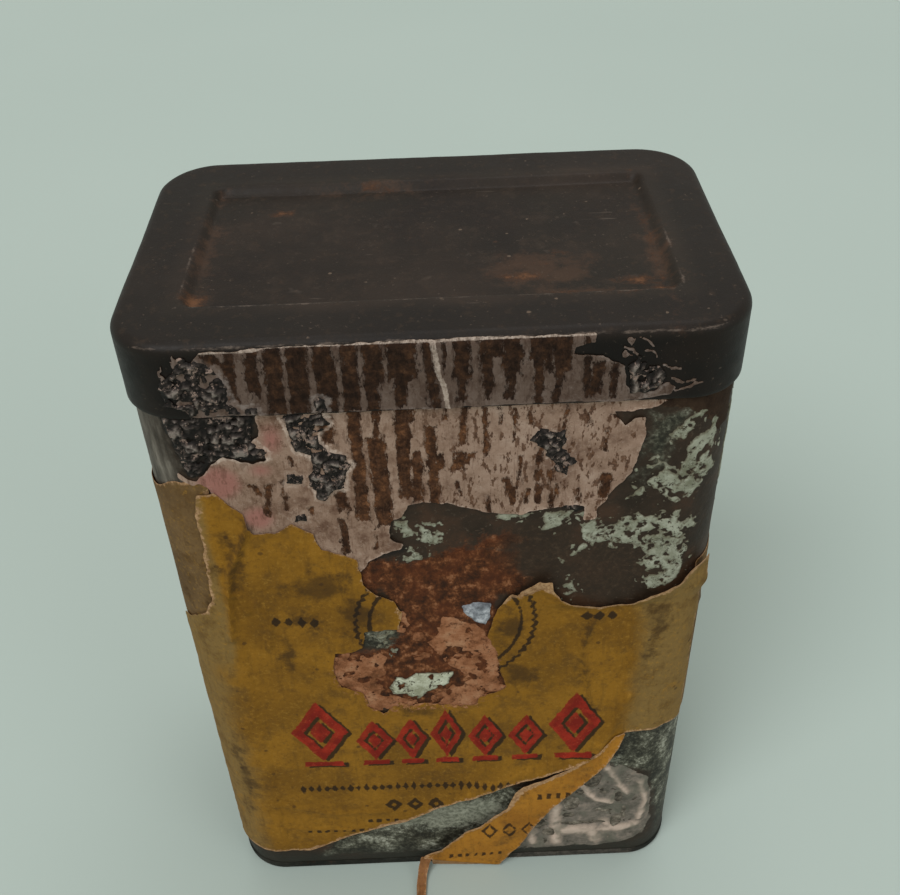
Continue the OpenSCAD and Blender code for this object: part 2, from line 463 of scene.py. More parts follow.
def lid_material():
    """Brown-black lacquer, near black on the skirt, rusting where it is rubbed through."""
    m = Shade("worn_lacquer", specular=0.16)
    fine = m.noise(1.1, 5, 0.7)
    m.colour = m.ramp(m.noise(16, 4, 0.6), (0.36, (31, 24, 20)), (0.5, (39, 31, 25)), (0.64, (48, 38, 31)))
    m.lay((35, 31, 25), m.step(m.noise(26, 2, seed=3), 0.45, 0.62), 0.6)
    m.lay((24, 20, 17), m.mark("rim"), 0.6)
    m.lay((62, 49, 38), m.step(fine, 0.52, 0.75), 0.45)
    haze = m.step(m.sum(m.mark("haze"), (m.noise(2.6, 6, 0.75, seed=23), 9), -4.6), 0.0, 2.2)
    m.lay((88, 62, 45), haze, 0.42)
    dark = m.mix(m.step(m.noise(5, 4, seed=11), 0.35, 0.65), (16, 11, 8), (26, 18, 13))
    rubbed = m.step(m.noise(1.8, 6, 0.8, stretch=(1.6, 1.6, 1), seed=29), 0.48, 0.66)
    bloom = m.step(m.sum((m.noise(1.5, 6, 0.8, seed=30), 1.0), (m.mark("lip"), 0.12)), 0.62, 0.7)
    scuff = m.step(m.noise(0.5, 3, 0.6, stretch=(6, 6, 1), seed=32), 0.66, 0.74)
    for share, strength, colour in ((rubbed, 0.8, (62, 48, 38)), (bloom, 0.75, (94, 60, 38)),
                                    (scuff, 0.5, (104, 92, 82))):
        dark = m.mix(m.times(m.times(share, m.mark("behind")), strength), dark, colour)
    m.lay(dark, m.mark("skirt"), 0.92)
    rust = m.sum(m.mark("rust"), (m.noise(1.5, 6, 0.75, seed=5), 4.4), -2.3)
    m.lay((76, 52, 37), m.step(rust, -0.3, 0.7), 0.55)
    m.lay((108, 73, 48), m.step(rust, 0.4, 1.3), 0.65)
    # Wear at the skirt's cut edge, with painted highlights along the shoulder and the panel's front edge.
    wear_and_highlight = m.sum(m.mark("wear_and_highlight"), (m.noise(0.8, 5, 0.8, stretch=(3, 3, 1), seed=8), 2.2), -1.1)
    m.lay((112, 98, 88), m.step(wear_and_highlight, 0.6, 1.1), 0.6)
    speck = m.step(m.sum(m.cells(3.4, 1), (m.noise(0.4, 2, seed=9), 0.1)), 0.115, 0.085)
    m.lay((118, 100, 84), speck, 0.5)
    grit = m.step(m.noise(0.42, 3, 0.7, seed=19), 0.64, 0.72)
    m.lay((96, 82, 70), grit, 0.4)
    scratch = m.step(m.noise(0.5, 2, 0.6, stretch=(12, 1.3, 1.3), seed=27), 0.7, 0.76)
    scratch = m.times(scratch, m.step(m.noise(9, 2, seed=31), 0.42, 0.6))
    m.lay((98, 86, 76), scratch, 0.45)
    m.lay(old_tin(m), m.mark("inner"))
    rough_value = m.sum((fine, 0.3), 0.34, (m.step(rust, 0, 0.6), 0.25))
    height = m.sum((fine, 0.5), (m.noise(0.25, 3, seed=4), 0.25), (m.step(rust, 0, 1), 0.6))
    return m.finish(rough_value, height, 0.05)


def slate_colour(m, seed=6):
    """Dark tin gone grey-green, mottled with pale lichen-like specks."""
    patch, speck = m.noise(2.6, 4, 0.6, seed=seed), m.noise(0.42, 5, 0.8, seed=seed + 1)
    mixed = m.sum((patch, 0.75), (speck, 0.75), -0.25)
    return m.ramp(mixed, (0.38, (34, 32, 25)), (0.46, (52, 50, 40)), (0.53, (76, 75, 63)),
                  (0.6, (112, 111, 97)), (0.68, (156, 156, 142)))


def wall_material():
    """Bare tin: brown, with rust, grey-green bloom, chalk, old glue, sooty black, painted shadow and foot
    shade, and bright metal where marked.
    """
    m = Shade("stained_tinplate", specular=0.2)
    mid, fine = m.noise(2.2, 5, 0.65, seed=1), m.noise(0.5, 4, 0.7, seed=2)
    m.colour = m.ramp(m.noise(5, 5, 0.7), (0.36, (37, 27, 18)), (0.5, (47, 35, 25)), (0.64, (62, 43, 30)))
    m.lay((90, 78, 66), m.step(fine, 0.57, 0.72), 0.5)
    brushed = m.ramp(m.noise(1.9, 5, 0.62, stretch=(0.7, 0.7, 3.4), seed=17), (0.36, (44, 38, 31)),
                     (0.46, (68, 61, 53)), (0.56, (90, 83, 74)), (0.66, (116, 109, 99)))
    m.lay(brushed, m.step(m.sum(m.mark("brushed"), (mid, 2), -1), -0.3, 0.5))
    slate = m.step(m.sum(m.mark("slate"), (mid, 3), -1.5), -0.5, 0.6)
    m.lay(slate_colour(m), slate)
    chalk = m.step(m.sum(m.mark("chalk"), (m.noise(1.5, 6, 0.8, seed=11), 9), -4.9), -0.3, 0.6)
    m.lay(m.mix(m.step(fine, 0.35, 0.65), (96, 98, 84), (152, 152, 136)), chalk, 0.7)
    rust = m.sum(m.mark("rust"), (mid, 3.4), (fine, 1.6), -2.5)
    grain_lines = m.noise(1.1, 5, 0.72, stretch=(1, 1, 1.25), seed=12)
    brown = m.ramp(grain_lines, (0.38, (46, 25, 13)), (0.48, (70, 38, 18)), (0.55, (92, 52, 27)),
                   (0.61, (126, 81, 51)), (0.68, (149, 105, 76)))
    brown = m.mix(m.times(m.step(m.noise(3.2, 4, seed=13), 0.48, 0.62), 0.35), brown, (92, 46, 22))
    m.lay(brown, m.step(rust, -0.4, 0.6))
    glue = m.step(m.sum(m.mark("glue"), (mid, 2.4), -1.2), -0.1, 0.35)
    dried = m.ramp(m.sum((mid, 0.6), (fine, 0.5), -0.05), (0.4, (52, 46, 38)), (0.48, (86, 79, 69)),
                   (0.56, (114, 105, 93)), (0.66, (150, 142, 130)))
    m.lay(dried, glue)
    # Painted shade: the wall darkens towards its foot.
    foot = m.times(m.mark("foot"), m.sum((mid, 0.6), 0.5))
    m.lay((40, 41, 35), foot)
    shade = m.step(m.sum(m.mark("shade"), (mid, 1), -0.5), 0.0, 1.0)
    m.lay(m.mix(m.step(fine, 0.4, 0.7), (43, 31, 21), (63, 48, 35)), shade, 0.72)
    # Sooty black round the scabs, and painted shadow under the lid's edge and the ply's torn edge.
    soot_and_shadow = m.step(m.sum(m.mark("soot_and_shadow"), (fine, 1.6), -0.8), -0.2, 0.3)
    m.lay((24, 18, 14), soot_and_shadow, 0.9)
    bright = m.step(m.sum(m.mark("glint"), (fine, 1), -0.5), 0.1, 0.4)
    m.lay(m.mix(m.step(fine, 0.4, 0.6), (112, 116, 122), (178, 182, 190)), bright)
    tin = old_tin(m)
    m.lay(tin, m.mark("neck"), m.sum((mid, 0.9), 0.25))
    m.lay(tin, m.mark("inner"))
    rough_value = m.sum((fine, 0.3), 0.42, (m.step(rust, 0, 0.6), 0.3), (bright, -0.3))
    height = m.sum((fine, 0.5), (mid, 0.6), (m.times(m.step(rust, 0, 1), grain_lines), 1.4), (glue, 0.6),
                   (chalk, 0.5))
    return m.finish(rough_value, height, 0.1)


def base_material():
    """Folded seam: dark tin, darkened further as painted shade, with the same old glue and rust that has run
    down onto it.
    """
    m = Shade("bare_seam", specular=0.1)
    fine = m.noise(0.7, 5, 0.7)
    # The seam's dark tones hold painted shade as well as the tin's own colour.
    m.colour = m.ramp(m.noise(3, 5, 0.7), (0.38, (24, 24, 21)), (0.5, (33, 33, 29)), (0.62, (46, 45, 40)))
    m.lay((70, 68, 61), m.step(fine, 0.54, 0.7), 0.3)
    m.lay((66, 46, 32), m.step(m.noise(2.4, 5, 0.7, seed=4), 0.58, 0.7), 0.6)
    glue = m.step(m.sum(m.mark("glue"), (m.noise(1.6, 5, 0.75, seed=6), 3), -1.5), -0.2, 0.5)
    m.lay(m.mix(m.step(fine, 0.4, 0.62), (60, 57, 52), (94, 87, 80)), glue, 0.6)
    m.lay(old_tin(m), m.mark("inner"))
    return m.finish(m.sum((fine, 0.3), 0.5), fine, 0.05)


def solder_material():
    """Dull grey solder."""
    m = Shade("solder_grey", specular=0.5, metallic=0.6)
    fine = m.noise(0.6, 4, 0.6)
    m.colour = m.ramp(m.noise(2, 5, 0.7, seed=2), (0.36, (70, 64, 56)), (0.5, (104, 100, 94)),
                      (0.64, (138, 134, 128)))
    return m.finish(m.sum((fine, 0.35), 0.3), fine, 0.05)


def paper_fibres(m):
    """Height of felted paper: long soft fibres over fine grain."""
    return m.sum((m.noise(0.8, 4, 0.7, seed=3, warp=0.8), 0.6), (m.noise(0.22, 2, seed=5), 0.4))


def printed_paper(name, warm, deep, margin, rub):
    """Yellow printed label: two tones of staining, a browner margin, red and black ink, torn pale edges."""
    m = Shade(name, specular=0.14)
    broad, mid, fine = m.noise(8, 5, 0.62), m.noise(2.4, 5, 0.68, seed=1), m.noise(0.45, 4, 0.7, seed=2)
    m.colour = m.mix(m.step(broad, 0.36, 0.64), deep, warm)
    m.lay(margin, m.step(m.sum(m.mark("margin"), (mid, 1.4), -0.7), 0.0, 1.0))
    m.lay((84, 57, 20), m.step(mid, 0.46, 0.7), 0.55)
    lines = m.noise(0.8, 4, 0.65, stretch=(0.8, 0.8, 6), seed=16)
    m.lay((80, 56, 22), m.step(lines, 0.52, 0.7), 0.3)
    m.lay((158, 118, 48), m.step(fine, 0.52, 0.72), 0.45)
    m.lay((78, 50, 16), m.step(fine, 0.46, 0.32), 0.35)
    rubbed = m.step(m.noise(3.4, 6, 0.78, seed=24), 0.57, 0.66)
    m.lay(rub, rubbed, 0.4)
    # Stains, with painted shade along creases on the front and side labels.
    stain = m.step(m.sum(m.mark("stain"), (mid, 6), -3.1), -0.5, 1.3)
    m.lay((58, 40, 20), stain, 0.68)
    grime = m.step(m.noise(1.5, 6, 0.8, seed=21), 0.58, 0.68)
    m.lay((66, 46, 22), grime, 0.45)
    fleck = m.step(m.sum(m.cells(3.1, 4), (fine, 0.1)), 0.16, 0.1)
    m.lay((56, 38, 22), fleck, 0.6)
    wear = m.sum((m.noise(1.1, 5, 0.75, seed=8), 0.8), -0.42)
    m.lay((33, 24, 17), m.step(m.sum(m.mark("ink"), wear), -0.06, 0.1), 0.88)
    red = m.mix(m.step(mid, 0.4, 0.65), (118, 26, 17), (150, 40, 24))
    red = m.mix(m.times(m.step(fine, 0.56, 0.7), 0.5), red, (168, 78, 50))
    m.lay(red, m.step(m.sum(m.mark("red"), wear), -0.06, 0.1), 0.93)
    ragged = m.sum(m.mark("edge"), (m.noise(0.8, 5, 0.8, seed=9), 2.2), -1.1)
    m.lay((80, 56, 28), m.step(ragged, 0.1, -0.3), 0.25)
    torn_edge = m.step(m.sum(ragged, (m.mark("bare"), -0.62)), 0.12, -0.22)
    m.lay(m.mix(m.step(fine, 0.35, 0.65), (138, 104, 74), (184, 148, 112)), torn_edge, 0.85)
    pulp = m.step(m.sum(m.mark("pulp"), (m.noise(0.8, 5, 0.8, seed=26), 7), -3.9), -0.2, 0.3)
    tan = m.mix(m.step(fine, 0.4, 0.62), (132, 86, 56), (166, 118, 84))
    m.lay(tan, pulp, 0.9)
    m.lay((150, 112, 78), m.step(m.mark("under"), 0.4, 0.6))
    height = m.sum((paper_fibres(m), 1.0), (m.mark("ink"), 0.05), (lines, 0.6), (pulp, -0.5))
    return m.finish(m.sum((fine, 0.2), 0.66), height, 0.035)


def ply_material(name, tint=(1, 1, 1)):
    """Bare paper ply, run with brown rust streaks and picked pale at its torn edges."""
    def tone(*colour):
        return tuple(c * share for c, share in zip(colour, tint))

    m = Shade(name, specular=0.12)
    mid, fine = m.noise(1.7, 5, 0.72, seed=1), m.noise(0.4, 5, 0.75, seed=2)
    m.colour = m.ramp(m.sum((m.noise(5, 3, seed=4), 0.5), (mid, 0.55), -0.025), (0.38, tone(104, 79, 65)),
                      (0.46, tone(129, 104, 88)), (0.55, tone(144, 119, 103)), (0.66, tone(158, 135, 120)))
    m.lay(tone(168, 148, 134), m.step(fine, 0.52, 0.72), 0.5)
    m.lay(tone(150, 101, 92), m.step(m.mark("rosy"), 0.0, 1.4), 0.85)
    picked = m.step(m.noise(2.6, 3, seed=14), 0.44, 0.6)
    edge = m.sum(m.mark("edge"), (m.noise(0.6, 5, 0.8, seed=9), 1.8), -0.9)
    m.lay(tone(190, 168, 154), m.step(edge, 0.25, -0.1), m.sum((picked, 0.5), 0.12))
    m.lay(tone(192, 168, 152), m.step(m.mark("dabs"), 0.4, 0.85), 0.06)
    streak = m.sum(m.mark("streak"), (m.noise(0.8, 5, 0.75, stretch=(0.7, 0.7, 1.8), seed=6), 1.9), -0.93)
    brown = m.ramp(m.noise(1.1, 6, 0.78, seed=7), (0.38, tone(40, 24, 15)), (0.48, tone(58, 37, 24)),
                   (0.56, tone(78, 50, 32)), (0.64, tone(106, 70, 45)), (0.72, tone(128, 94, 70)))
    m.lay(brown, m.step(streak, -0.05, 0.1))
    dirt = m.step(m.noise(0.9, 6, 0.85, seed=12), 0.59, 0.65)
    m.lay(tone(74, 50, 36), dirt, 0.75)
    speck = m.step(m.noise(0.5, 4, 0.75, stretch=(0.8, 0.8, 1.5), seed=15), 0.62, 0.69)
    m.lay(tone(84, 58, 44), speck, 0.6)
    halo = m.step(m.sum(m.mark("halo"), (fine, 1.6), -0.8), 0.2, 0.8)
    m.lay(tone(196, 176, 162), halo, m.sum((picked, 0.65), 0.12))
    fold = m.step(m.sum(m.mark("fold"), (fine, 0.8), -0.4), 0.25, 0.6)
    m.lay(m.mix(m.step(fine, 0.4, 0.6), (140, 124, 112), (176, 160, 148)), fold, 0.9)
    lines = m.step(m.noise(0.5, 4, 0.7, stretch=(0.5, 0.5, 4), seed=18), 0.55, 0.62)
    m.lay(tone(88, 60, 45), lines, 0.3)
    dabs = m.step(m.noise(0.95, 3, 0.65, stretch=(0.62, 0.62, 1.5), seed=25), 0.56, 0.6)
    m.lay(m.mix(m.step(fine, 0.4, 0.6), tone(62, 38, 25), tone(96, 68, 50)), dabs, m.mark("dabs"))
    m.lay((110, 88, 72), m.step(m.mark("under"), 0.4, 0.6))
    height = m.sum((paper_fibres(m), 1.0), (m.step(streak, 0.1, -0.1), 0.9))
    return m.finish(m.sum((fine, 0.15), 0.78), height, 0.06)


def tan_material():
    """The ply left in the hole: tan to salmon, rubbed through to rust."""
    m = Shade("tan_ply", specular=0.12)
    mid, fine = m.noise(1.3, 6, 0.78, seed=1), m.noise(0.4, 5, 0.75, seed=2)
    m.colour = m.ramp(m.sum((m.noise(4, 3, seed=4), 0.5), (mid, 0.6), -0.05), (0.38, (102, 64, 40)),
                      (0.46, (130, 84, 56)), (0.53, (150, 102, 72)), (0.64, (164, 122, 92)))
    rubbed = m.step(m.noise(0.9, 6, 0.82, seed=9), 0.53, 0.61)
    m.lay((80, 48, 30), rubbed, 0.8)
    rim = m.step(m.sum(m.mark("edge"), (fine, 1), -0.5), 0.25, -0.1)
    m.lay((80, 48, 30), rim, 0.3)
    m.lay((172, 138, 110), m.step(fine, 0.58, 0.72), 0.5)
    return m.finish(m.sum((fine, 0.15), 0.75), m.sum((paper_fibres(m), 1.0), (mid, 0.8)), 0.06)


def chip_material():
    """A scrap of bright foil, scuffed."""
    m = Shade("foil_chip", specular=0.5)
    fine = m.noise(0.5, 5, 0.7)
    m.colour = m.ramp(m.noise(1.1, 5, 0.7, seed=2), (0.38, (86, 88, 94)), (0.5, (128, 131, 138)),
                      (0.62, (184, 187, 192)))
    return m.finish(m.sum((fine, 0.35), 0.3), fine, 0.05)


def residue_material():
    """Dried glue and paper pulp: grey-brown skin with dark pits, paled on its ridges as a painted highlight.
    """
    m = Shade("dried_glue", specular=0.15)
    mid, fine = m.noise(1.9, 5, 0.7, seed=1), m.noise(0.45, 4, 0.7, seed=2)
    # Painted highlight: the colour pales with the ridges' height.
    m.colour = m.ramp(m.sum((m.mark("high"), 0.75), (mid, 0.9), (fine, 0.35), -0.5), (0.0, (82, 78, 70)),
                      (0.2, (114, 106, 97)), (0.42, (144, 130, 118)), (0.72, (174, 156, 142)),
                      (1.0, (190, 172, 158)))
    m.lay((96, 96, 84), m.step(m.noise(3.2, 3, seed=7), 0.5, 0.62), 0.5)
    return m.finish(m.sum((fine, 0.2), 0.6), m.sum((mid, 1.0), (fine, 0.4)), 0.12)


def crust_material():
    """Charred, lumpy crust with pale specks of paper caught in it, its lumps paled to grey as a painted
    highlight.
    """
    m = Shade("charred_crust", specular=0.2)
    fine = m.noise(0.45, 5, 0.78, seed=1)
    # Painted highlight: the colour pales with the lumps' height.
    m.colour = m.ramp(m.sum(m.mark("high"), (fine, 0.9), -0.45), (0.2, (20, 15, 12)), (0.5, (42, 35, 31)),
                      (0.75, (67, 59, 54)), (0.95, (98, 89, 83)), (1.0, (123, 113, 105)))
    paper = m.step(m.noise(0.9, 5, 0.8, seed=5), 0.56, 0.61)
    m.lay((150, 128, 116), paper, 0.8)
    return m.finish(m.sum((fine, 0.35), 0.4), fine, 0.1)


def flake_material(name, light=1.0):
    """Pale grey-green paint, chalky and cracked."""
    def tone(*colour):
        return tuple(c * light for c in colour)

    m = Shade(name, specular=0.2)
    fine = m.noise(0.4, 4, 0.7, seed=1)
    m.colour = m.ramp(m.noise(2.4, 5, 0.7), (0.38, tone(112, 112, 94)), (0.5, tone(136, 137, 120)),
                      (0.64, tone(158, 160, 144)))
    m.lay(tone(170, 172, 158), m.step(fine, 0.5, 0.72), 0.5)
    m.lay((56, 47, 35), m.step(m.noise(0.75, 6, 0.85, seed=5), 0.545, 0.59))
    m.lay((88, 80, 64), m.step(m.mark("edge"), 0.22, 0.02), 0.7)
    return m.finish(m.sum((fine, 0.2), 0.7), fine, 0.05)


def floor_material():
    """Plain and pale, with the faintest change of tone."""
    m = Shade("pale_floor", specular=0.1)
    m.colour = m.mix(m.noise(160, 2), (163, 176, 170), (170, 182, 176))
    return m.finish()


# ---------------------------------------------------------------- outlines, in mm on the wrap

FRONT_LABEL = [
    (-28.6, 5.2), (-26, 4.9), (-19, 4.5), (-17, 5.5), (-14.5, 7), (-10, 9), (-6, 10.5), (-3, 12.5),
    (0, 14.5), (4, 16.5), (8, 18.5), (12, 20), (15.5, 21.8), (17.5, 23), (18.8, 24.8), (20.6, 26.9),
    (23.5, 27), (25, 27.4), (27.4, 27.3), (27.4, 54.2), (26.2, 54), (25.2, 53.2), (24, 52), (22, 50.7),
    (20, 49.7), (19, 49.1), (16, 48.9), (14, 49.5), (12, 50.4), (11.2, 52), (11, 53.3), (9.8, 53.3),
    (8.4, 52.3), (7.6, 51.3), (6.8, 51.4), (6, 50), (5.4, 49), (5, 47), (4.5, 45), (5.5, 42), (5.6, 40),
    (6.2, 38), (6.4, 36.4), (5.2, 35.4), (3.4, 34.8), (3, 33.8), (1.2, 33.2), (-1, 33.6), (-3, 34.2),
    (-4.4, 33.6), (-5.4, 34.4), (-6.3, 33.5), (-7.5, 32.5), (-9, 34), (-9.5, 36.5), (-11.8, 37.4),
    (-12.4, 40), (-12, 43), (-10.2, 43.2), (-9, 43.9), (-8.6, 46.4), (-5, 46.8), (-4.5, 49), (-5.2, 50.8),
    (-7, 52), (-8.2, 53.6), (-8.5, 57), (-10, 57.9), (-12, 58.6), (-12.5, 60.8), (-14.5, 62.2),
    (-16.2, 61), (-18.4, 61), (-18.9, 63.8), (-20, 65), (-21.2, 66.5), (-22.8, 66.5), (-23.3, 64),
    (-23.3, 60), (-23.6, 52.4), (-24.6, 49.8), (-26.8, 48.2), (-28.6, 47.4)]
UPPER_PLY = [
    (-24.4, 68.9), (-22.6, 67.9), (-21.8, 68.8), (-20.8, 70), (-19.6, 70.6), (-18.4, 70.2), (-17, 69.8),
    (-15.8, 70.2), (-15.9, 71.4), (-17, 72.2), (-16.1, 73), (-16.2, 75.5), (21, 75.5), (19.4, 74.5),
    (17.5, 74.2), (15.9, 74.3), (16.3, 73.6), (17.2, 72.6), (18, 73.5), (18.9, 73.4), (19.1, 71.5),
    (18.5, 69), (18.1, 66.9), (17.4, 65.8), (16.4, 65), (16, 63.6), (15.2, 62.6), (15, 61.2), (13.8, 61.2),
    (13.9, 62.8), (12.8, 63.3), (11, 62.9), (9, 62.5), (6, 62.3), (4.9, 62.8), (3, 63.3), (0.5, 64.1),
    (-2, 64.3), (-3.2, 64.1), (-3.6, 62.7), (-4.8, 62.1), (-5.1, 60.4), (-4.8, 59.6), (-3.7, 59),
    (-4.2, 58.3), (-5.8, 57.8), (-7.4, 56.9), (-8.4, 55.2), (-9.4, 56.4), (-11, 57.2), (-13.2, 59.2),
    (-15, 60.4), (-17, 59.4), (-19.6, 60.6), (-21.2, 65), (-21.7, 67.2), (-23.6, 67.8), (-24.2, 68.2)]
SKIRT_PLY = [
    (-21.5, 75.8), (-22.6, 77.4), (-21.6, 79), (-22.4, 80.6), (-20.9, 81.4), (-19.8, 82.6), (-17, 82.5),
    (-14.6, 82.75), (-4, 82.85), (4, 82.9), (9, 82.8), (13.9, 82.85), (13.9, 82), (12.2, 81.7), (12, 80.9),
    (14.6, 80.7), (15.6, 80), (16.6, 79.4), (16.8, 77.4), (17.6, 76.6), (19.4, 76.6), (20.2, 77.6),
    (21.2, 77), (20.8, 76.2), (18, 75.8)]
HOLE_PLY = [
    (-13.8, 44.4), (-10.6, 44.4), (-9.6, 42.8), (-8.4, 42.2), (-7.2, 42.9), (-6.3, 42.1), (-7.1, 40.7),
    (-6.4, 39.6), (-7.8, 38.2), (-7.2, 36.8), (-6.4, 35.6), (-5, 34.9), (-3, 34.7), (-1.6, 35.3),
    (-0.5, 36.4), (0.9, 37.3), (2, 38.4), (1.4, 39.6), (0, 40.3), (-0.4, 41.6), (-1.2, 43), (-1.9, 44.3),
    (-0.8, 45.4), (-1, 46.8), (-0.2, 48.2), (0.8, 48), (2, 47.2), (3.2, 46.8), (4, 45.8), (4.2, 44.6),
    (6, 45), (7, 43), (7.6, 40.6), (8, 37.6), (7, 33.8), (3.6, 32), (0.6, 31.6), (-2.4, 32.2), (-5, 32),
    (-7.6, 30.4), (-10.6, 32.4), (-13.9, 35.6), (-14.4, 39.6)]
HOLE_SCRAPS = [
    (-4.6, 47.8, 0.7, 2.0), (-3.6, 50.9, 0.9, 0.5), (-2.6, 42.1, 1.0, 0.5), (-3, 45.2, 0.6, 0.8),
    (0.4, 45, 0.5, 0.5)]
CHALK_PATCH = [
    (-6.5, 37), (-5.8, 38.8), (-4.5, 38.4), (-3.5, 39.4), (-1.5, 39.2), (0.6, 39.4), (0, 37.5),
    (-1.8, 36.3), (-3.5, 34.9), (-4.6, 35.8), (-6.3, 36)]
SILVER_CHIP = [(1.7, 49.6), (3, 50.1), (4.8, 49.9), (4.6, 47.8), (4.2, 46.6), (3, 47.4), (2, 48.6)]
RUST_HOLE = [
    (-8.4, 57), (-9, 54.6), (-8, 52.6), (-6, 51), (-4.8, 49.5), (-5, 46), (-6.4, 43.4), (-9.5, 43.6),
    (-12.6, 42.6), (-13, 38), (-9.6, 33.6), (-4, 32.6), (3, 33), (7, 36), (6.4, 41), (5, 45), (5.6, 51),
    (7.4, 51.8), (8.6, 53.4), (8, 55), (7.8, 57.2), (5, 58), (2, 58.2), (-1, 57.6), (-3.5, 56.6),
    (-6, 57.2)]
GREY_HOLE = [(-9.2, 44), (-8.2, 46.7), (-6, 46.9), (-4.7, 46.3), (-5, 44), (-5.4, 42.8), (-7, 43.6)]
LOWER_CHALK = [
    (-17, 3), (10, 2.6), (12, 8), (11, 15), (6, 17.5), (0, 15), (-6, 11.6), (-12, 8.8), (-16, 6.6)]
GLUE_PATCH = [
    (6.6, 2.7), (9.5, 2.4), (13, 2.7), (18, 2.6), (22, 3.1), (24.2, 4.6), (25, 7), (24.8, 10), (24.5, 14),
    (23.8, 17.4), (21.2, 19.6), (18.7, 21.4), (15.6, 18.4), (12.8, 13.5), (9.5, 8.5)]
GLUE_CELLS = [
    (10.8, 8.2, 0.8, 1.1), (12, 6.2, 0.9, 0.9), (14.7, 12.6, 1.0, 1.7), (14.6, 9.9, 0.8, 0.6),
    (16.4, 8, 2.8, 0.4), (20.5, 8, 0.7, 1.3), (21.4, 10, 0.35, 1.2), (17, 17.6, 1.1, 1.8),
    (18.4, 14.7, 0.7, 0.3), (20.6, 13.4, 0.5, 1.1), (19.4, 10.6, 0.9, 0.3), (15.6, 14.8, 0.6, 0.8),
    (19.6, 20.4, 0.5, 0.6)]
GLUE_RIDGES = [
    (0.35, [(18.4, 20.2), (19.3, 18.8), (20.4, 16.6), (21.5, 14.4)]), (0.4, [(15.6, 16.8), (16.6, 14.6),
    (17.8, 13.3), (19.8, 12.6)]), (0.9, [(13.8, 6.6), (17, 6.5)]), (0.8, [(17.6, 6.8), (18.1, 4.4)]),
    (0.6, [(18.6, 6.6), (21.2, 6.6), (23, 7.4)]), (0.5, [(19, 8.2), (20, 6.8)]), (0.4, [(23.4, 8.6),
    (24, 12), (23, 16.6)]), (0.7, [(12.6, 12.6), (12.9, 8), (13.2, 4)]), (0.5, [(9.7, 8), (10, 4)])]
SLATE_CORNER = [(17, 20), (19.5, 27.6), (34, 29), (34, 14), (27, 2), (25.4, 14), (23, 19)]
SLATE_TOP = [(18, 63.5), (18.5, 75), (25, 76), (22, 68), (20.6, 64)]
BRUSHED_CORNER = [(-40, 66), (-40, 77), (-26.2, 77), (-25.4, 71), (-23, 67), (-24, 66.4)]
BROWN_CORNER = [
    (17.2, 75.45), (18.6, 74.7), (20.6, 74.5), (22.6, 74.2), (24.3, 73.4), (25.5, 71.9), (26.4, 70.6),
    (27.8, 70.8), (28.2, 75.45)]
FLAKES = [
    [(23, 69), (23.5, 70.4), (25.2, 71.2), (26, 70), (26.4, 66), (25, 64.2), (23.6, 63), (22.4, 62.9),
    (21.5, 63.8), (20.4, 64.8), (19.8, 65.6), (21.2, 67), (22.3, 66.4), (22.9, 66.8)], [(20.9, 71.2),
    (22, 72.2), (23.3, 73.2), (24.3, 74.6), (24.8, 73.6), (23.6, 71.8), (22.6, 70.6)], [(13.7, 58.5),
    (14, 60.6), (15.5, 61.2), (16.2, 59.8), (17.2, 60.4), (17.6, 61.2), (19.2, 61.9), (20.2, 60.9),
    (21, 61.9), (23.1, 61.7), (23.4, 60.2), (24.8, 60.6), (25.2, 59.2), (24.4, 58.4), (24.2, 57), (25, 56),
    (24.4, 54), (24, 52.2), (22.6, 51), (20.9, 50.7), (20.4, 52.4), (21, 53), (22.8, 53.6), (20.6, 53.6),
    (19.5, 54.8), (20.6, 55.6), (19.8, 56.9), (18.6, 57.7), (15.5, 57.9)], [(10, 60), (10, 62.3),
    (11.4, 62.3), (12.8, 62.5), (12.7, 61.2), (11.4, 60.6)], [(13.9, 62.4), (14.2, 61.2), (13.2, 61),
    (12.8, 61.6)], [(-4.8, 60.4), (-4.6, 62), (-3.2, 61.8), (-3, 60.2)], [(-2.2, 59), (-2, 61.8),
    (-0.6, 61.6), (-0.2, 60.2), (-0.8, 58.8)], [(-3.8, 56.4), (-3.4, 58.3), (-2.2, 57.9), (-2, 56.6)],
    [(5.2, 61.6), (5.4, 62.6), (9.2, 62.3), (8.4, 61.5)], [(12.7, 56.1), (13.4, 57.4), (14.4, 58.5),
    (14.7, 58), (13.8, 56.9), (13.1, 56)], [(19, 67.6), (20.4, 68.9), (21, 67.8), (20, 67.2)],
    [(25.5, 74.2), (26.4, 74), (26.3, 70), (25.9, 65.4), (25.1, 65.6), (25.4, 70)], [(12, 50.6),
    (12.4, 52), (13.2, 52.6), (13.6, 51.2), (13, 50.2)], [(18.2, 64), (19.4, 65.2), (19.8, 64.4),
    (19, 63.8)], [(21, 67), (21.2, 67.9), (22, 67.4), (21.6, 66.9)], [(-7.4, 45.1), (-6.8, 45.8),
    (-6.4, 45.2), (-7, 44.8)], [(-6.3, 46.4), (-5.6, 46.6), (-5.6, 45.7), (-6.2, 45.8)], [(-6.8, 44.6),
    (-6.2, 45), (-6, 44.2), (-6.6, 44)], [(-6.3, 43), (-6.1, 43.6), (-5.6, 43.1), (-5.2, 42.4)]]
SIDE_FLAKES = [
    [(28.4, 64), (29, 72), (33, 74.6), (40, 73), (47, 75), (54, 73), (61, 74.6), (58, 69.6), (50, 69),
    (43, 66), (36, 63.6), (31, 59)], [(68, 69), (74, 74), (84, 73), (93, 74.6), (101, 72), (95, 69),
    (84, 68.4)], [(110, 70), (114, 74.6), (124, 73.6), (134, 74.8), (138, 72.6), (128, 71.8), (118, 71)],
    [(33, 20), (36, 17.6), (39, 12), (43, 8), (48, 6), (44, 4.4), (36, 6), (32, 12)]]
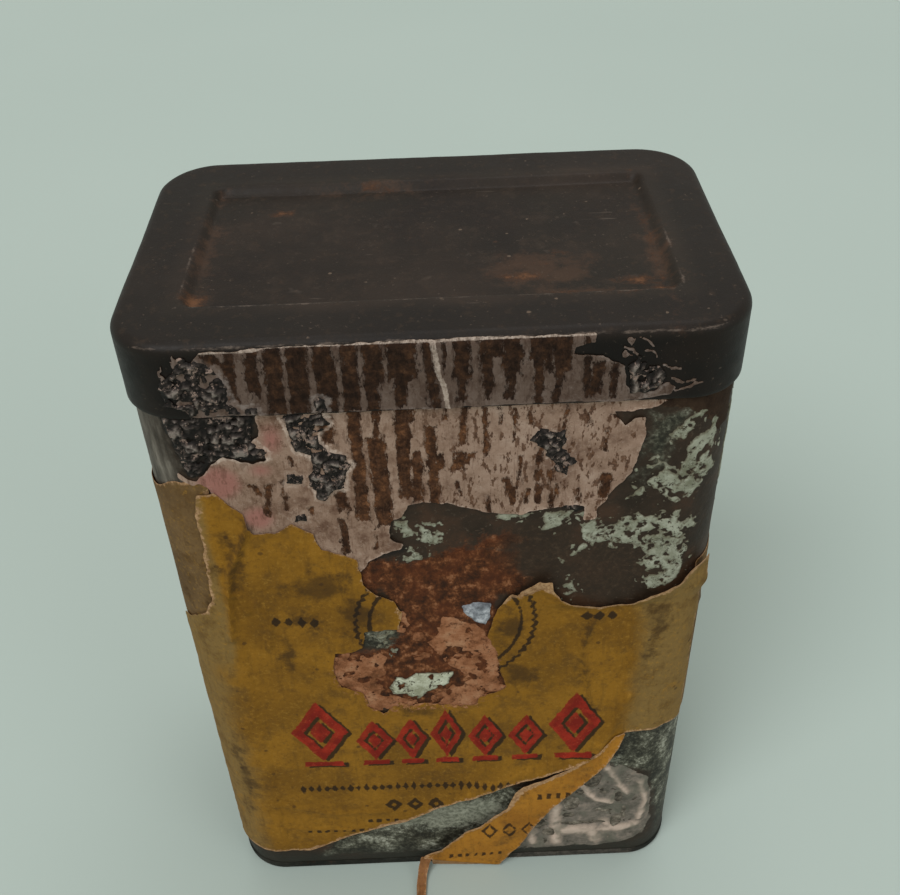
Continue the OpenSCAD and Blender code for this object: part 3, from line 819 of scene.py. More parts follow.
SCABS = [
    [(-24.6, 75.5), (-24.3, 73), (-23.4, 69.6), (-22.8, 68.5), (-21.8, 68.9), (-21.2, 70), (-19.8, 70.9),
    (-18.4, 70.5), (-17.4, 70.2), (-15.6, 70.5), (-15.7, 71.3), (-16.6, 72), (-16.6, 75.5)],
    [(-13.7, 75.5), (-13.2, 72), (-12.9, 71.2), (-11.8, 70.6), (-11.7, 69.5), (-12.1, 68), (-11.9, 66.5),
    (-11.7, 65.4), (-10.6, 64.8), (-10.2, 66), (-8.7, 66.3), (-8.6, 68.3), (-8, 69.4), (-8.4, 70.4),
    (-9.9, 70.9), (-10.8, 71.8), (-10.6, 73), (-9.6, 74.2), (-10, 75.5)], [(8.4, 71.2), (9.4, 72.8),
    (10.6, 72.2), (12, 72.3), (11.8, 71.2), (11.5, 70.3), (12.3, 69.6), (13.1, 68.6), (12.2, 67.9),
    (11.8, 67), (11, 67.4), (10.9, 68.5), (9.9, 69.3), (9.6, 70.3)], [(-14.2, 67.3), (-14.1, 68.5),
    (-12.8, 68.4), (-12.7, 67.2)], [(-14.2, 62.3), (-14.1, 63.5), (-13, 63.4), (-12.8, 62.3)],
    [(11.8, 63.2), (12.6, 63.6), (13.6, 63), (13.4, 62.3), (12.3, 62.7)]]
SKIRT_SCABS = [
    [(-23.4, 77), (-24, 79), (-22.6, 80.6), (-21.4, 82), (-19.2, 81.4), (-18.2, 79.6), (-17.8, 77.6),
    (-18.8, 76.4), (-21.5, 76.2)], [(16.9, 79.4), (17.6, 80.4), (18.6, 79.9), (19.4, 79.2), (20.4, 78),
    (19.8, 77), (18.6, 76.4), (17.2, 76.6), (17, 78)], [(-22, 75.6), (-21.6, 76.8), (-19, 77),
    (-17.2, 76.8), (-15.6, 76.4), (-15.4, 75.6)], [(-10.8, 75.6), (-10.8, 77.2), (-10.3, 77.6),
    (-9.7, 77.3), (-9.6, 75.6)]]

# Streaks as (x at top, top, x at foot, foot, half width)
UPPER_STREAKS = [
    (-7.4, 76, -7.4, 62, 0.62), (-5.6, 72.3, -5.4, 61.6, 0.82), (-5.2, 76, -5.5, 72, 0.34),
    (-3.1, 76, -3.1, 65, 0.62), (-1.9, 70.5, -2.1, 64.4, 0.45), (-2.2, 76, -2.3, 74, 0.3),
    (-0.6, 73.3, -0.4, 63.6, 0.52), (-0.1, 70, 0.2, 68.6, 0.4), (-9.8, 75, -10, 71.6, 0.6),
    (-9.4, 66, -9, 63.4, 0.5), (-9.5, 62.6, -9.4, 58, 0.34), (-6.3, 60.2, -6.3, 58.4, 0.14),
    (-15.9, 67.2, -16.6, 63.2, 0.3), (-14.6, 67.6, -14.7, 64.2, 0.18), (-13.7, 70.4, -13.5, 69.6, 0.3),
    (-17.6, 67.3, -17, 66, 0.25), (-12.3, 64.2, -12.2, 63.3, 0.22), (2.5, 75.4, 2.3, 70.8, 0.28),
    (2.2, 70.2, 1.8, 68, 0.5), (3.2, 70, 2.6, 68.8, 0.3), (1.6, 66.8, 2.2, 64.4, 0.25),
    (4.3, 75.4, 4.5, 69.4, 0.2), (6.3, 66.9, 7, 63.8, 0.42), (4.6, 65, 4.6, 62.6, 0.16),
    (7.1, 75, 7.1, 71, 0.14), (8.6, 74.6, 8.5, 73, 0.24), (8.5, 65.4, 8.3, 63.7, 0.2),
    (9.4, 70.4, 9.3, 63.4, 0.3), (10.4, 67.6, 10.7, 62.9, 0.24), (13.2, 65.2, 13.2, 63.7, 0.16),
    (15.8, 67, 15.6, 64, 0.5), (15.6, 72, 15.5, 69.4, 0.16), (13.2, 74.6, 14, 73, 0.12),
    (15.6, 74, 17.6, 73, 0.2), (12, 75.4, 11.4, 72, 0.14), (7.6, 69.4, 7.4, 66, 0.14),
    (5.8, 75.2, 5.8, 73.4, 0.1), (11.2, 66, 11.2, 64, 0.12), (0.9, 75.4, 0.8, 74, 0.14)]
SKIRT_STREAKS = [
    (-19.2, 82.4, -18.8, 81.3, 0.75), (-17.4, 83, -17.6, 77.4, 0.42), (-15.5, 83, -15.7, 78, 0.55),
    (-13.65, 83, -13.9, 75.6, 0.76), (-11.5, 83, -11.9, 75.6, 0.9), (-9.35, 83, -9.3, 75.6, 0.86),
    (-7.1, 83, -7.3, 75.6, 0.74), (-5.15, 83, -5.2, 78.6, 0.84), (-5.3, 79, -5.5, 75.6, 0.55),
    (-2.65, 83, -2.8, 78.8, 1.2), (-2.9, 79.2, -3.05, 75.8, 0.62), (-0.6, 83, 0, 75.7, 0.46),
    (0.95, 82.6, 0.85, 79.2, 0.1), (2.45, 83, 2.35, 78.6, 0.72), (2.4, 79, 2.3, 76.4, 0.4),
    (4.95, 83, 4.95, 81.2, 1.05), (4.5, 81.4, 4.6, 78, 0.52), (4.6, 78.4, 4.65, 76.4, 0.26),
    (6.8, 83, 6.85, 79, 0.82), (6.65, 79.4, 6.5, 76.3, 0.4), (9.3, 83, 9.2, 80.4, 1.0),
    (9.1, 80.8, 9.1, 75.8, 0.4), (9.95, 80.6, 9.9, 79, 0.3), (11.1, 83, 11.1, 79.4, 0.78),
    (10.85, 79.8, 10.7, 76, 0.36), (10.3, 82.9, 10.3, 81.4, 0.3), (13.3, 80.6, 13.4, 76.2, 0.34),
    (14.2, 80, 14.1, 76.4, 0.5), (15.7, 79.8, 15.8, 76, 0.36), (13.4, 82.6, 13.4, 81.8, 0.35)]
SKIRT_CHIPS = [
    (17, 82, 0.34, 0.24), (20.2, 77, 0.55, 0.34), (16.6, 80.7, 0.5, 0.3), (-23.3, 79.6, 0.2, 1.9),
    (-22.2, 81.6, 0.22, 0.8)]
SKIRT_CURLS = [
    [(17.6, 82.3), (18.4, 82), (18.8, 81.4)], [(18.2, 80.9), (19, 80.7), (19.3, 80.1)], [(19.8, 79.3),
    (20.6, 78.9), (21.4, 79)], [(20.8, 77.9), (21.8, 77.5), (22.8, 77.6)], [(16.4, 81.4), (17.2, 81.2),
    (17.6, 80.6)], [(21.2, 76.6), (22.4, 76.9), (23.4, 77.4)]]


# ---------------------------------------------------------------- the printed ornament

def lozenge(x, y, cx, cy, half_w, half_h):
    """Distance inside a diamond."""
    share = 1 - np.abs(x - cx) / half_w - np.abs(y - cy) / half_h
    return share * half_w * half_h / math.hypot(half_w, half_h)


def hollow(field, stroke):
    """The rim of a shape, stroke wide."""
    return np.minimum(field, stroke - field)


def motif(x, y, cx, low, high, half_w):
    """One plain printed motif: a diamond outline with a smaller diamond in it and a foot bar."""
    cy, half_h = (low + high) / 2 + 0.4, (high - low) / 2 - 0.4
    outer = hollow(lozenge(x, y, cx, cy, half_w, half_h), min(1.3, half_w * 0.42))
    inner = lozenge(x, y, cx, cy, half_w * 0.38, half_h * 0.4)
    bar = np.minimum(half_w * 0.72 - np.abs(x - cx), 0.5 - np.abs(y - low - 0.42))
    return np.maximum(np.maximum(outer, inner), bar)


MOTIFS = [
    (-15.1, 22.8, 35, 3.3), (-8.9, 22.8, 31.4, 2.2), (-4.6, 22.8, 31.6, 1.9), (-0.5, 22.8, 33, 1.9),
    (4, 22.8, 31.6, 2.1), (8.7, 22.8, 31.4, 2.1), (14.4, 22.8, 35, 3.1)]
RING_Z = 47.3


def red_print(x, y, edge=None):
    """Row of red motifs across the label."""
    return np.max([motif(x, y, *m) for m in MOTIFS], axis=0)


def ink_print(x, y, edge=None):
    """Black print: the motifs' shadows, a plain ring with dots round it, rules and small diamonds."""
    shadow = red_print(x - 0.5, y + 0.25)
    radius = np.hypot(x, y - RING_Z)
    scallop = 0.36 * np.abs(np.sin(28 * np.arctan2(y - RING_Z, x)))
    ink = [shadow, 0.26 - np.abs(radius - 8), 0.26 - np.abs(radius - 9.2 - scallop)]
    for k in range(4):
        ink.append(lozenge(x, y, -17.7 + 1.35 * k, 48.4 - 0.1 * k, 0.62, 0.85))
    for k in range(3):
        ink.append(lozenge(x, y, 14.9 + 1.35 * k, 47.5 - 0.1 * k, 0.62, 0.85))
    for k in range(28):
        ink.append(lozenge(x, y, -18.2 + 0.96 * k, 18.2 - 0.012 * k, 0.42, 0.95 - 0.15 * (k % 2)))
    for k in range(3):
        ink.append(hollow(lozenge(x, y, -7.4 + 2.6 * k, 14.2, 1.1, 1.5), 0.62))
    for low, start, end in ((10.8, -10.6, -7), (8.8, -18.4, -9.4)):
        dash = np.abs((x - start) / 1.1 - np.round((x - start) / 1.1)) * 1.1
        span = np.minimum(x - start + 0.4, end - x)
        ink.append(np.minimum(np.minimum(0.32 - dash, 0.36 - np.abs(y - low)), span))
    return np.max(ink, axis=0)


def tongue_ink(x, y, edge=None):
    """Plain dots and diamonds that run on down the torn strip."""
    ink = []
    for k in range(5):
        ink.append(np.minimum(0.32 - np.abs(x - 10.6 - 1.15 * k), 0.6 - np.abs(y - 15.3 - 0.08 * k)))
    for k in range(3):
        ink.append(hollow(lozenge(x, y, 4.4 + 2.5 * k, 8.3 + 0.1 * k, 1.1, 1.7), 0.42))
    for k in range(7):
        ink.append(np.minimum(0.3 - np.abs(x + 0.6 - 1.05 * k), 0.4 - np.abs(y - 2.9 - 0.06 * k)))
    return np.max(ink, axis=0)


# ---------------------------------------------------------------- fields used by several pieces

def union(shapes, ragged, size, seed):
    """Field of several torn outlines together."""
    fields = [torn(points, ragged, size, seed + 11 * k) for k, points in enumerate(shapes)]
    return lambda x, y: np.max([field(x, y) for field in fields], axis=0)


def streaks(lines, seed):
    """Field of run-down streaks with wavering sides and ragged feet."""
    def field(x, y, edge=None):
        sway = x + 0.12 * rough(x, y / 2.5, 1.0, seed, 3)
        best = np.full(np.shape(x), -9.0)
        for top_x, top, foot_x, foot, half in lines:
            share = np.clip((top - y) / (top - foot), 0, 1)
            middle = top_x + (foot_x - top_x) * share
            side = half - np.abs(sway - middle)
            ends = np.minimum(top - y, y - foot + 0.6 * rough(x, y, 0.9, seed + 5, 2))
            best = np.maximum(best, np.minimum(side, ends))
        return best

    return field


front_outline = torn(FRONT_LABEL, 0.28, 1.3, 5)


def front_field(x, y):
    """The front label's outline, more frayed round the lower part of its hole."""
    frayed = bell(np.hypot(x + 3, y - 39), 9)
    return front_outline(x, y) + 0.5 * frayed * rough(x, y, 0.8, 9, 3)


scab_field = union(SCABS, 0.45, 1.0, 40)
skirt_scab_field = union(SKIRT_SCABS, 0.5, 1.0, 90)
upper_streaks = streaks(UPPER_STREAKS, 60)
skirt_streaks = streaks(SKIRT_STREAKS, 70)


def flake_field(shapes, seed, holes=0.24):
    """Islands of paint, ragged, eaten through with small holes, and crumbs scattered round them."""
    base = union(shapes, 0.5, 0.8, seed)

    def field(x, y):
        near = base(x, y) + 0.25 * rough(x, y, 1.4, seed + 4, 3)
        pits = -1.2 * (rough(x, y, 0.7, seed + 3, 3) - holes)
        crumbs = np.minimum(0.9 * (rough(x, y, 0.6, seed + 6, 3) - 0.36), near + 0.9)
        return np.maximum(np.minimum(near, pits), crumbs)

    return field


# ---------------------------------------------------------------- the metal

COLUMNS = 392
S = np.linspace(-HALF_ROUND, HALF_ROUND, COLUMNS, endpoint=False)


def wall_marks(s, z):
    """Where the bare body is rusted, slaty, chalky, smeared with old glue, scraped bright, sooty, or darkened
    by painted shadow and shade.
    """
    rust = np.maximum(torn(RUST_HOLE, 0.8, 2, 12)(s, z), blob(s, z, 5.5, 58.6, 4.5, 2.2) - 0.9)
    rust = np.maximum(rust, blob(s, z, 62, 69, 16, 4) - 1)
    rust = np.maximum(rust, blob(s, z, -48, 72, 8, 3) - 0.6)
    slate = np.max([torn(p, 0.8, 2, 20 + k)(s, z) for k, p in
                    enumerate((SLATE_CORNER, GREY_HOLE, LOWER_CHALK))], axis=0)
    slate = np.maximum(slate, 0.5 * torn(SLATE_TOP, 0.8, 2, 24)(s, z) - 0.6)
    slate = np.maximum(slate, np.minimum(24 - z, np.abs(s) - 28) * 0.3)
    chalk = np.maximum(blob(s, z, -1.5, 11.4, 10, 3.6) + 0.3, blob(s, z, 45, 14, 14, 9) - 1)
    chalk = np.maximum(chalk, blob(s, z, 18.6, 21.4, 1.6, 2.6))
    glue = torn(GLUE_PATCH, 0.5, 2, 33)(s, z)
    marks = {"rust": rust, "slate": slate, "chalk": chalk, "glue": glue,
             "glint": torn(SILVER_CHIP, 0.2, 1, 35)(s, z)}
    marks["brushed"] = np.maximum(torn(BRUSHED_CORNER, 0.3, 2, 36)(s, z),
                                  np.min([z - 66, -24 - s, s + 38], axis=0) * 0.2)
    # Dark lines: one down the left scab's side, and a painted shadow under the ply's torn lower edge.
    line = 0.3 - np.minimum(along([(-24.6, 75.5), (-24.1, 73), (-23.2, 69)], s, z),
                            along([(-8.3, 55.6), (-7.1, 56.9), (-5.2, 57.7), (-3.6, 58.2)], s, z))
    # Sooty black round the scabs, with the painted shadow lines and the painted shadow under the lid.
    marks["soot_and_shadow"] = np.max([line, scab_field(s, z) + 0.3, skirt_shadow(s, z)], axis=0)
    # Painted shade, darker towards the foot.
    marks["foot"] = smooth(z, 5.2, 1.6)
    marks["shade"] = np.maximum(blob(s, z, 16.8, 54, 5.6, 5.2), blob(s, z, 9.4, 57.4, 5, 5)) / 2.5
    return {key: np.clip(value, -4, 2.5) for key, value in marks.items()}


def skirt_shadow(s, z):
    """Painted shadow: the dark line on the tin just below the lid's edge."""
    return 0.25 + 0.5 * rough(s, z, 2.5, 38, 3) - np.abs(z - 75.4)


def make_wall():
    """Body: outer face, hemmed rim, inner face and foot, as one bent sheet."""
    hem = SHEET + 0.05
    profile = [(0.0, z) for z in np.arange(FOOT_Z, RIM_Z - hem, 0.42)]
    bend = np.radians(np.arange(0, 181, 20))
    profile += [(-hem + hem * math.cos(a), RIM_Z - hem + hem * math.sin(a)) for a in bend]
    profile += [(-2 * hem, RIM_Z - 1.2), (-2 * hem, RIM_Z - 2.3), (-2 * hem + 0.05, RIM_Z - 2.4),
                (-2 * hem + SHEET, RIM_Z - 2.4), (-2 * hem + SHEET, RIM_Z - 2.7)]
    profile += [(-SHEET, z) for z in np.arange(RIM_Z - 3, FOOT_Z + 1, -2.4)] + [(-SHEET, FOOT_Z)]
    rows, heights = [], []
    for out, z in profile:
        pits = 0.03 * rough(S, np.full(S.shape, z), 1.1, 8, 3) if out == 0 else 0
        rows.append(on_wall(S, np.full(S.shape, float(z)), out + pits))
        heights.append(np.full(S.shape, float(z)))
    z = np.concatenate(heights)
    marks = wall_marks(np.tile(S, len(rows)), z)
    outer = np.repeat([out == 0 for out, _ in profile], len(S))
    marks = {key: np.where(outer, value, -4) for key, value in marks.items()}
    marks["inner"] = np.repeat([out < -hem for out, _ in profile], len(S))
    marks["neck"] = smooth(z, SKIRT_Z, SKIRT_Z + 0.5) * ~marks["inner"]
    loft("tin_body", rows, marks, WALL, "tin", ["body_wall"])


def make_base():
    """Base: the folded seam round the foot and the pressed floor inside it."""
    inner = -SHEET - 0.05
    profile = [(SEAM_OUT - 0.06, 0.5), (SEAM_OUT, 0.8), (SEAM_OUT, 1.1), (SEAM_OUT - 0.02, 1.3),
               (SEAM_OUT - 0.05, 1.4), (0.035, 1.36), (0.035, SHEET), (inner, SHEET), (inner, 1.5),
               (inner - 0.12, 1.74), (inner - 0.4, 1.8)]
    low = [(inner - 0.6, 1.5), (inner - 0.36, 1.3), (inner - SHEET, 1.0), (inner - SHEET, 0.12),
           (inner - SHEET + 0.12, 0), (-0.34, 0), (-0.18, 0.06), (-0.03, 0.22)]
    wave = 0.035 * rough(S, 0 * S, 6, 44, 2)

    def row(out, z):
        wide, deep = 2 * (HALF_W + out), 2 * (HALF_D + out)
        points = ring(S, wide, deep, max(CORNER_R + out, 0), z)
        points[:, 2] += np.where(z > 0.9, wave, 0)
        return points

    def pan(z, steps):
        shrink = [inner - 1.2 - k * (HALF_D + inner - 1.2) / steps for k in range(steps + 1)]
        rows = []
        for k, out in enumerate(shrink):
            width, depth = 2 * (HALF_W + out), 2 * max(HALF_D + out, 0)
            points = ring(S, width, depth, max(CORNER_R + out, 0), z)
            points[:, 2] += 0.05 * rough(points[:, 0], points[:, 1], 9, 45, 2)
            rows.append(points)
        return rows

    floor_rows = pan(1.8, 10)
    rows = [row(out, z) for out, z in profile] + floor_rows + pan(1.5, 10)[::-1] + [row(*p) for p in low]
    glue = np.tile(np.minimum(S - 7, 24 - S) * 0.4, len(rows))
    number = np.repeat(np.arange(len(rows)), len(S))
    inner_face = (number >= len(profile) - 3) & (number < len(profile) + len(floor_rows))
    piece = loft("tin_base", rows, {"glue": np.clip(glue, -3, 1), "inner": inner_face}, BASE, "tin",
                 ["base"])
    weld(piece)


def make_solder():
    """Solder wiped down the seam in the middle of the back."""
    def place(x, y, out):
        return on_wall(HALF_ROUND + x, y, out)

    def field(x, y):
        return np.minimum(0.55 + 0.12 * rough(x * 0, y, 3, 50, 2) - np.abs(x),
                          0.1 + 0 * x + (y > 2) * (y < 75))

    sheet("seam_solder", (-1, 1, 2, 75), 0.22, field, place, lambda x, y, edge: 0 * x - 0.02,
          lambda x, y, edge: 0.03 + 0.1 * rise(edge, 0.5) + 0.03 * rough(x, y, 1.3, 51, 2),
          {}, SOLDER, "tin", ["side_seam_solder"])


# The lid's sunk panel, and ellipses on its top where it is rusted and where rust hazes it
PANEL_W, PANEL_D, PANEL_R = 45.4, 24.0, 1.5
PANEL_DROP, PANEL_SLOPE = 0.8, 1.2
LID_RUST = [
    (21.2, -2, 0.6, 9.5), (-5.5, 11.2, 1.9, 0.8), (8.5, -7.5, 2.2, 1.2), (13, -11, 3.2, 0.9),
    (18, -12, 1.2, 0.7), (12.3, -3.3, 1.2, 0.6), (-15, 7, 1.3, 0.8), (19, -9, 2.5, 1),
    (-21.5, -10, 1.5, 1.8), (20.8, -11, 1.2, 1.2), (10.5, -5, 1.6, 0.6)]
LID_HAZE = [(10.5, -6, 6, 4), (21.4, -4, 1.6, 10), (-21.5, 0, 1.5, 12), (-6, 11, 5, 1.6), (14, -10.5, 9, 1.5)]


def lid_marks(points):
    """Rust blotches on the panel, and wear with painted highlights along the shoulder and the panel's front
    edge, for points of the lid.
    """
    x, y, z = points.T
    on_top = z > SKIRT_Z + 6
    rust, haze = (np.where(on_top, blobs(x, y, spots), -3) for spots in (LID_RUST, LID_HAZE))
    # Wear with a painted highlight: a thin pale line along the front and back of the shoulder.
    shoulder = 0.8 * bell(z - (TOP_Z - 0.5), 0.22) * (np.abs(y) > HALF_D - 0.6)
    panel = inside([(a * PANEL_W / 2, b * PANEL_D / 2) for a, b in CORNERS], x, y)
    # Painted highlight: a thin pale line along the panel's front edge.
    rim = bell(panel - 0.05, 0.2) * (y < 0) * on_top
    raw = bell(z - SKIRT_Z, 0.35)
    return {"rust": np.clip(rust, -3, 2), "wear_and_highlight": shoulder + 0.75 * rim + 0.5 * raw,
            "skirt": smooth(TOP_Z - z, 0.5, 1.6), "haze": np.clip(haze, -3, 2),
            "rim": smooth(-panel, 0.2, 2.2) + smooth(-y, 4, 14) * 0.2,
            "behind": smooth(y, 1.0 - HALF_D, 6.0 - HALF_D), "lip": smooth(z, SKIRT_Z + 2.4, SKIRT_Z)}


def lid_sag(x, y):
    """Old dents and a slight dishing in the lid's top."""
    dish = -0.12 * (1 - (x / HALF_W) ** 2) * (1 - (y / HALF_D) ** 2)
    return dish + 0.07 * rough(x, y, 11, 61, 3) + 0.015 * rough(x, y, 1.4, 62, 2)


def make_lid():
    """Lid: skirt, rounded shoulder, flat rim, sunk panel and the same again inside, one sheet."""
    width, depth, radius = 2 * LID_HIGH[0], 2 * LID_HIGH[1], CORNER_R + LID_OUT

    def shell(out, z):
        points = ring(S, width + 2 * out, depth + 2 * out, radius + out, z)
        wave = skirt_wave(S, np.full(S.shape, float(z)))[:, None]
        normal = ring(S, 2, 2, 1, 0)
        normal[:, 2] = 0
        ragged = 0.06 * rough(S, 0 * S, 4, 63, 2) * bell(z - SKIRT_Z, 0.5)
        points = points + normal * wave
        points[:, 2] += ragged + lid_sag(points[:, 0], points[:, 1]) * smooth(z, TOP_Z - SHOULDER_R, TOP_Z)
        return points

    def outside():
        result = [shell(-0.05, SKIRT_Z)]
        result += [shell(0, z) for z in np.arange(SKIRT_Z + 0.08, TOP_Z - SHOULDER_R, 0.4)]
        bend = np.radians(np.arange(0, 91, 9))
        result += [shell(SHOULDER_R * (math.cos(a) - 1),
                         TOP_Z + SHOULDER_R * (math.sin(a) - 1)) for a in bend]
        return result

    def top(z, drop, steps):
        result = []
        outer = ring(S, width - 2 * SHOULDER_R, depth - 2 * SHOULDER_R, radius - SHOULDER_R, z)
        inner = ring(S, PANEL_W, PANEL_D, PANEL_R, z)
        result += [outer + (inner - outer) * k / 10 for k in range(1, 11)]
        for k in range(1, 9):
            inset = PANEL_SLOPE * k / 8
            fall = drop * (1 - math.cos(math.pi * k / 8)) / 2
            result.append(ring(S, PANEL_W - 2 * inset, PANEL_D - 2 * inset, max(PANEL_R - inset, 0.02),
                               z - fall))
        left = PANEL_D / 2 - PANEL_SLOPE
        for k in range(1, steps + 1):
            inset = PANEL_SLOPE + left * k / steps
            result.append(ring(S, PANEL_W - 2 * inset, max(PANEL_D - 2 * inset, 0), 0, z - drop))
        for points in result:
            points[:, 2] += lid_sag(points[:, 0], points[:, 1])
        return result

    rows = outside() + top(TOP_Z, PANEL_DROP, 24)
    outer_count = len(rows)
    rows += [points - [0, 0, SHEET] for points in top(TOP_Z, PANEL_DROP, 12)[::-1]]
    rows += [shell(-SHEET, z) for z in (TOP_Z - SHOULDER_R, TOP_Z - 3, TOP_Z - 5, SKIRT_Z + 0.5, SKIRT_Z)]
    marks = lid_marks(np.concatenate(rows))
    marks["inner"] = np.repeat(np.arange(len(rows)) >= outer_count, len(S))
    piece = loft("lid_shell", rows, marks, LID, "lid", ["lid"])
    weld(piece)


# ---------------------------------------------------------------- the paper

def print_marks(**given):
    """The marks a printed paper needs: those given, and the rest as on plain paper."""
    plain = {"red": -1, "ink": -1, "stain": -1, "margin": 0, "bare": 0.12, "pulp": -3}
    return {**{key: plain_mark(value) for key, value in plain.items()}, **given}


def ply_marks(**given):
    """The marks a bare ply needs: those given, and the rest as on plain ply."""
    plain = ("streak", "halo", "fold", "rosy", "dabs")
    return {**{key: plain_mark(-1) for key in plain}, **given}


CREASES = [
    ([(15.6, 47), (14.6, 42.5), (15.6, 36), (16.2, 31)], 0.3, 0.28), ([(-18.5, 62.6), (-19.8, 59.4),
    (-21.4, 56), (-22, 52), (-22.6, 46)], 0.45, 0.32), ([(-19.4, 51.5), (-18.4, 48), (-18.8, 44.5)],
    0.24, 0.28), ([(-22.8, 53.6), (-21, 52.6), (-20.4, 50)], 0.26, 0.28), ([(-14.6, 61), (-15.4, 57.6),
    (-14.4, 55)], 0.14, 0.4), ([(-21.6, 15), (-15, 12.6), (-8.5, 12.8)], 0.12, 0.5), ([(-20, 9.6),
    (-13, 9)], 0.1, 0.4), ([(20.3, 34), (18.8, 28), (17.6, 24.6)], 0.3, 0.45), ([(21.6, 44), (20.4, 36),
    (20.6, 30)], 0.14, 0.5), ([(3, 17.2), (10, 20.6), (17, 24.6)], 0.12, 0.6)]
STAINS = [
    (-12.6, 53.2, 3.2, 2.6), (-14.6, 48.4, 1.8, 1.2), (7.6, 38.6, 2.2, 2.4), (12.8, 24.6, 0.9, 0.9),
    (-9.5, 49, 2, 3.4), (7, 45.8, 1.6, 3), (-21, 57, 1.2, 3), (22.5, 46, 1.4, 2.2), (-24.8, 20, 1.1, 7),
    (-3, 32.6, 3, 1.6), (21.8, 40.5, 1, 1)]


def front_lift(x, y, edge):
    """How far the front label stands off the tin: glued flat inside, loose at its lower and upper edges."""
    loose = smooth(y, 48, 50) * smooth(x, 6, 9) + smooth(y, 26, 20) * smooth(x, -6, 4)
    flat = bell(np.hypot(x + 2, (y - 42) * 0.7), 11)
    curl = (0.14 - 0.12 * flat + 0.5 * loose) * fade(edge, 0.6 + 0.9 * loose)
    curl = curl * (1 + 0.5 * rough(x, y, 2.2, 71, 2))
    lift = 0.08 - 0.035 * flat + curl + 0.035 * (1 + rough(x, y, 4.5, 72, 3))
    lift = lift + 0.16 * smooth(x, 24.6, 26.2) + 0.17 * smooth(-x, 21, 22)
    for line, high, wide in CREASES:
        lift = lift + high * bell(along(line, x, y), wide)
    return lift


def paper_thickness(x, y, edge):
    """Paper, thinned to fibres at its torn edge."""
    return 0.035 + 0.085 * rise(edge, 0.6)


def label_margin(x, y, edge):
    """How far the label's sides have browned, from 0 to 1."""
    wave = 1.1 * rough(x, y, 5, 73, 3)
    left = np.maximum(smooth(-x + wave, 21.6, 26.4),
                      smooth(-x + wave / 2, 21.8, 23.4) * smooth(y, 36, 46) * 1.2)
    return np.maximum(smooth(x + wave, 18.6, 22.4), left)


BARE_EDGES = [
    (0.5, 0.7, [(-21.6, 66.6), (-23.3, 63), (-23.4, 54), (-24.6, 50)]), (0.8, 0.8, [(11, 53.3), (13, 50.3),
    (16, 49), (20, 49.8), (24, 52), (27.4, 54.2)]), (2.4, 1.3, [(8.8, 52.2), (10.4, 52.8)]),
    (1.0, 0.6, [(6.2, 50.6), (7.6, 51.6)]), (0.5, 0.6, [(-4.6, 47), (-4.9, 49.6)]), (0.45, 0.8, [(-18, 5),
    (-10, 9), (-3, 12.5), (4, 16.5), (12, 20), (18.8, 24.8)]), (1.3, 0.7, [(-19.6, 4.4), (-18, 4.9)]),
    (1.2, 0.9, [(-9, 9.4), (-6.6, 10.3)]), (0.5, 0.8, [(18.8, 24.8), (21, 27), (27.4, 27.3)]),
    (0.6, 0.8, [(-26, 4.9), (-19, 4.5)])]


def label_bare(x, y, edge):
    """How wide the print has come off along each torn edge."""
    wide = np.max([wide * bell(along(line, x, y), reach) for wide, reach, line in BARE_EDGES], axis=0)
    return wide - 1.2 * bell(np.hypot((x + 3) * 0.8, y - 38.4), 7.5) * (wide < 0.2)


def label_pulp(x, y, edge):
    """Where the print has rubbed through to tan pulp, round the lower part of the hole."""
    near = bell(np.hypot((x + 3) * 0.8, y - 38.4), 8.4)
    return near * (1.5 - np.clip(edge, 0, None) * 0.95) - (1 - near) * 1.5


def label_stain(x, y, edge):
    """Dark stains, a scratch, and painted shade along two creases."""
    spots = blobs(x, y, STAINS)
    scratch = 1.2 - 1.9 * along([(-17, 45.2), (-16.6, 43.8), (-17.3, 42.6), (-16.9, 41)], x, y)
    # Painted shade down the right crease and down the long crease at the upper left.
    fold = 0.7 - 1.8 * along(CREASES[0][0], x, y)
    shade = 1.0 - 2.4 * along([(-18.9, 62.8), (-19.3, 60.8), (-20.7, 57.2), (-21.4, 53.5)], x, y)
    return np.maximum(np.maximum(spots, scratch), np.maximum(fold, shade))


def make_front_label():
    """The yellow label that is left on the front."""
    marks = print_marks(red=red_print, ink=ink_print, margin=label_margin, stain=label_stain,
                        bare=label_bare, pulp=label_pulp)
    sheet("front_label_sheet", (-29, 28, 4, 67), 0.25, front_field, on_wall, front_lift, paper_thickness,
          marks, YELLOW, "tin", ["front_label"])


# The wrap round the sides and back: s counts on past the middle of the back to the left front corner
SIDE_LABEL = [
    (26.2, 27.4), (30, 26.8), (33, 26.2), (35, 24), (36.4, 20.6), (39, 18.6), (40.4, 14.4), (43.5, 12.4),
    (45, 9.4), (49, 8.6), (52, 6.4), (60, 4.9), (70, 4.4), (100, 4.4), (118, 4.6), (130, 4.5), (140, 4.8),
    (146, 5.2), (146, 46), (147.4, 47.4), (149.4, 49.3), (150.4, 52), (150.6, 60), (150.6, 64.4),
    (151, 66.6), (151, 67.6), (149.4, 67.9), (148, 67.6), (146.6, 66.8), (145, 65.8), (142, 65.4),
    (138, 67.2), (134, 69.8), (128, 70.2), (122, 68.6), (120.9, 66.4), (120.3, 62.6), (119.2, 67.4),
    (116, 69.4), (110, 67), (104, 65.4), (98, 66.8), (95.4, 64.8), (94.8, 59.4), (94.1, 60.2), (93.4, 64),
    (92, 64.2), (86, 65.6), (80, 66.6), (74, 64.8), (66, 66.8), (63.4, 66.2), (62.6, 61.4), (61.8, 66.8),
    (60, 68), (54, 67), (50, 66), (46, 63.4), (42, 61.6), (38, 58.8), (35, 55.4), (32, 53.9), (29.5, 53.4),
    (26.2, 53.4)]
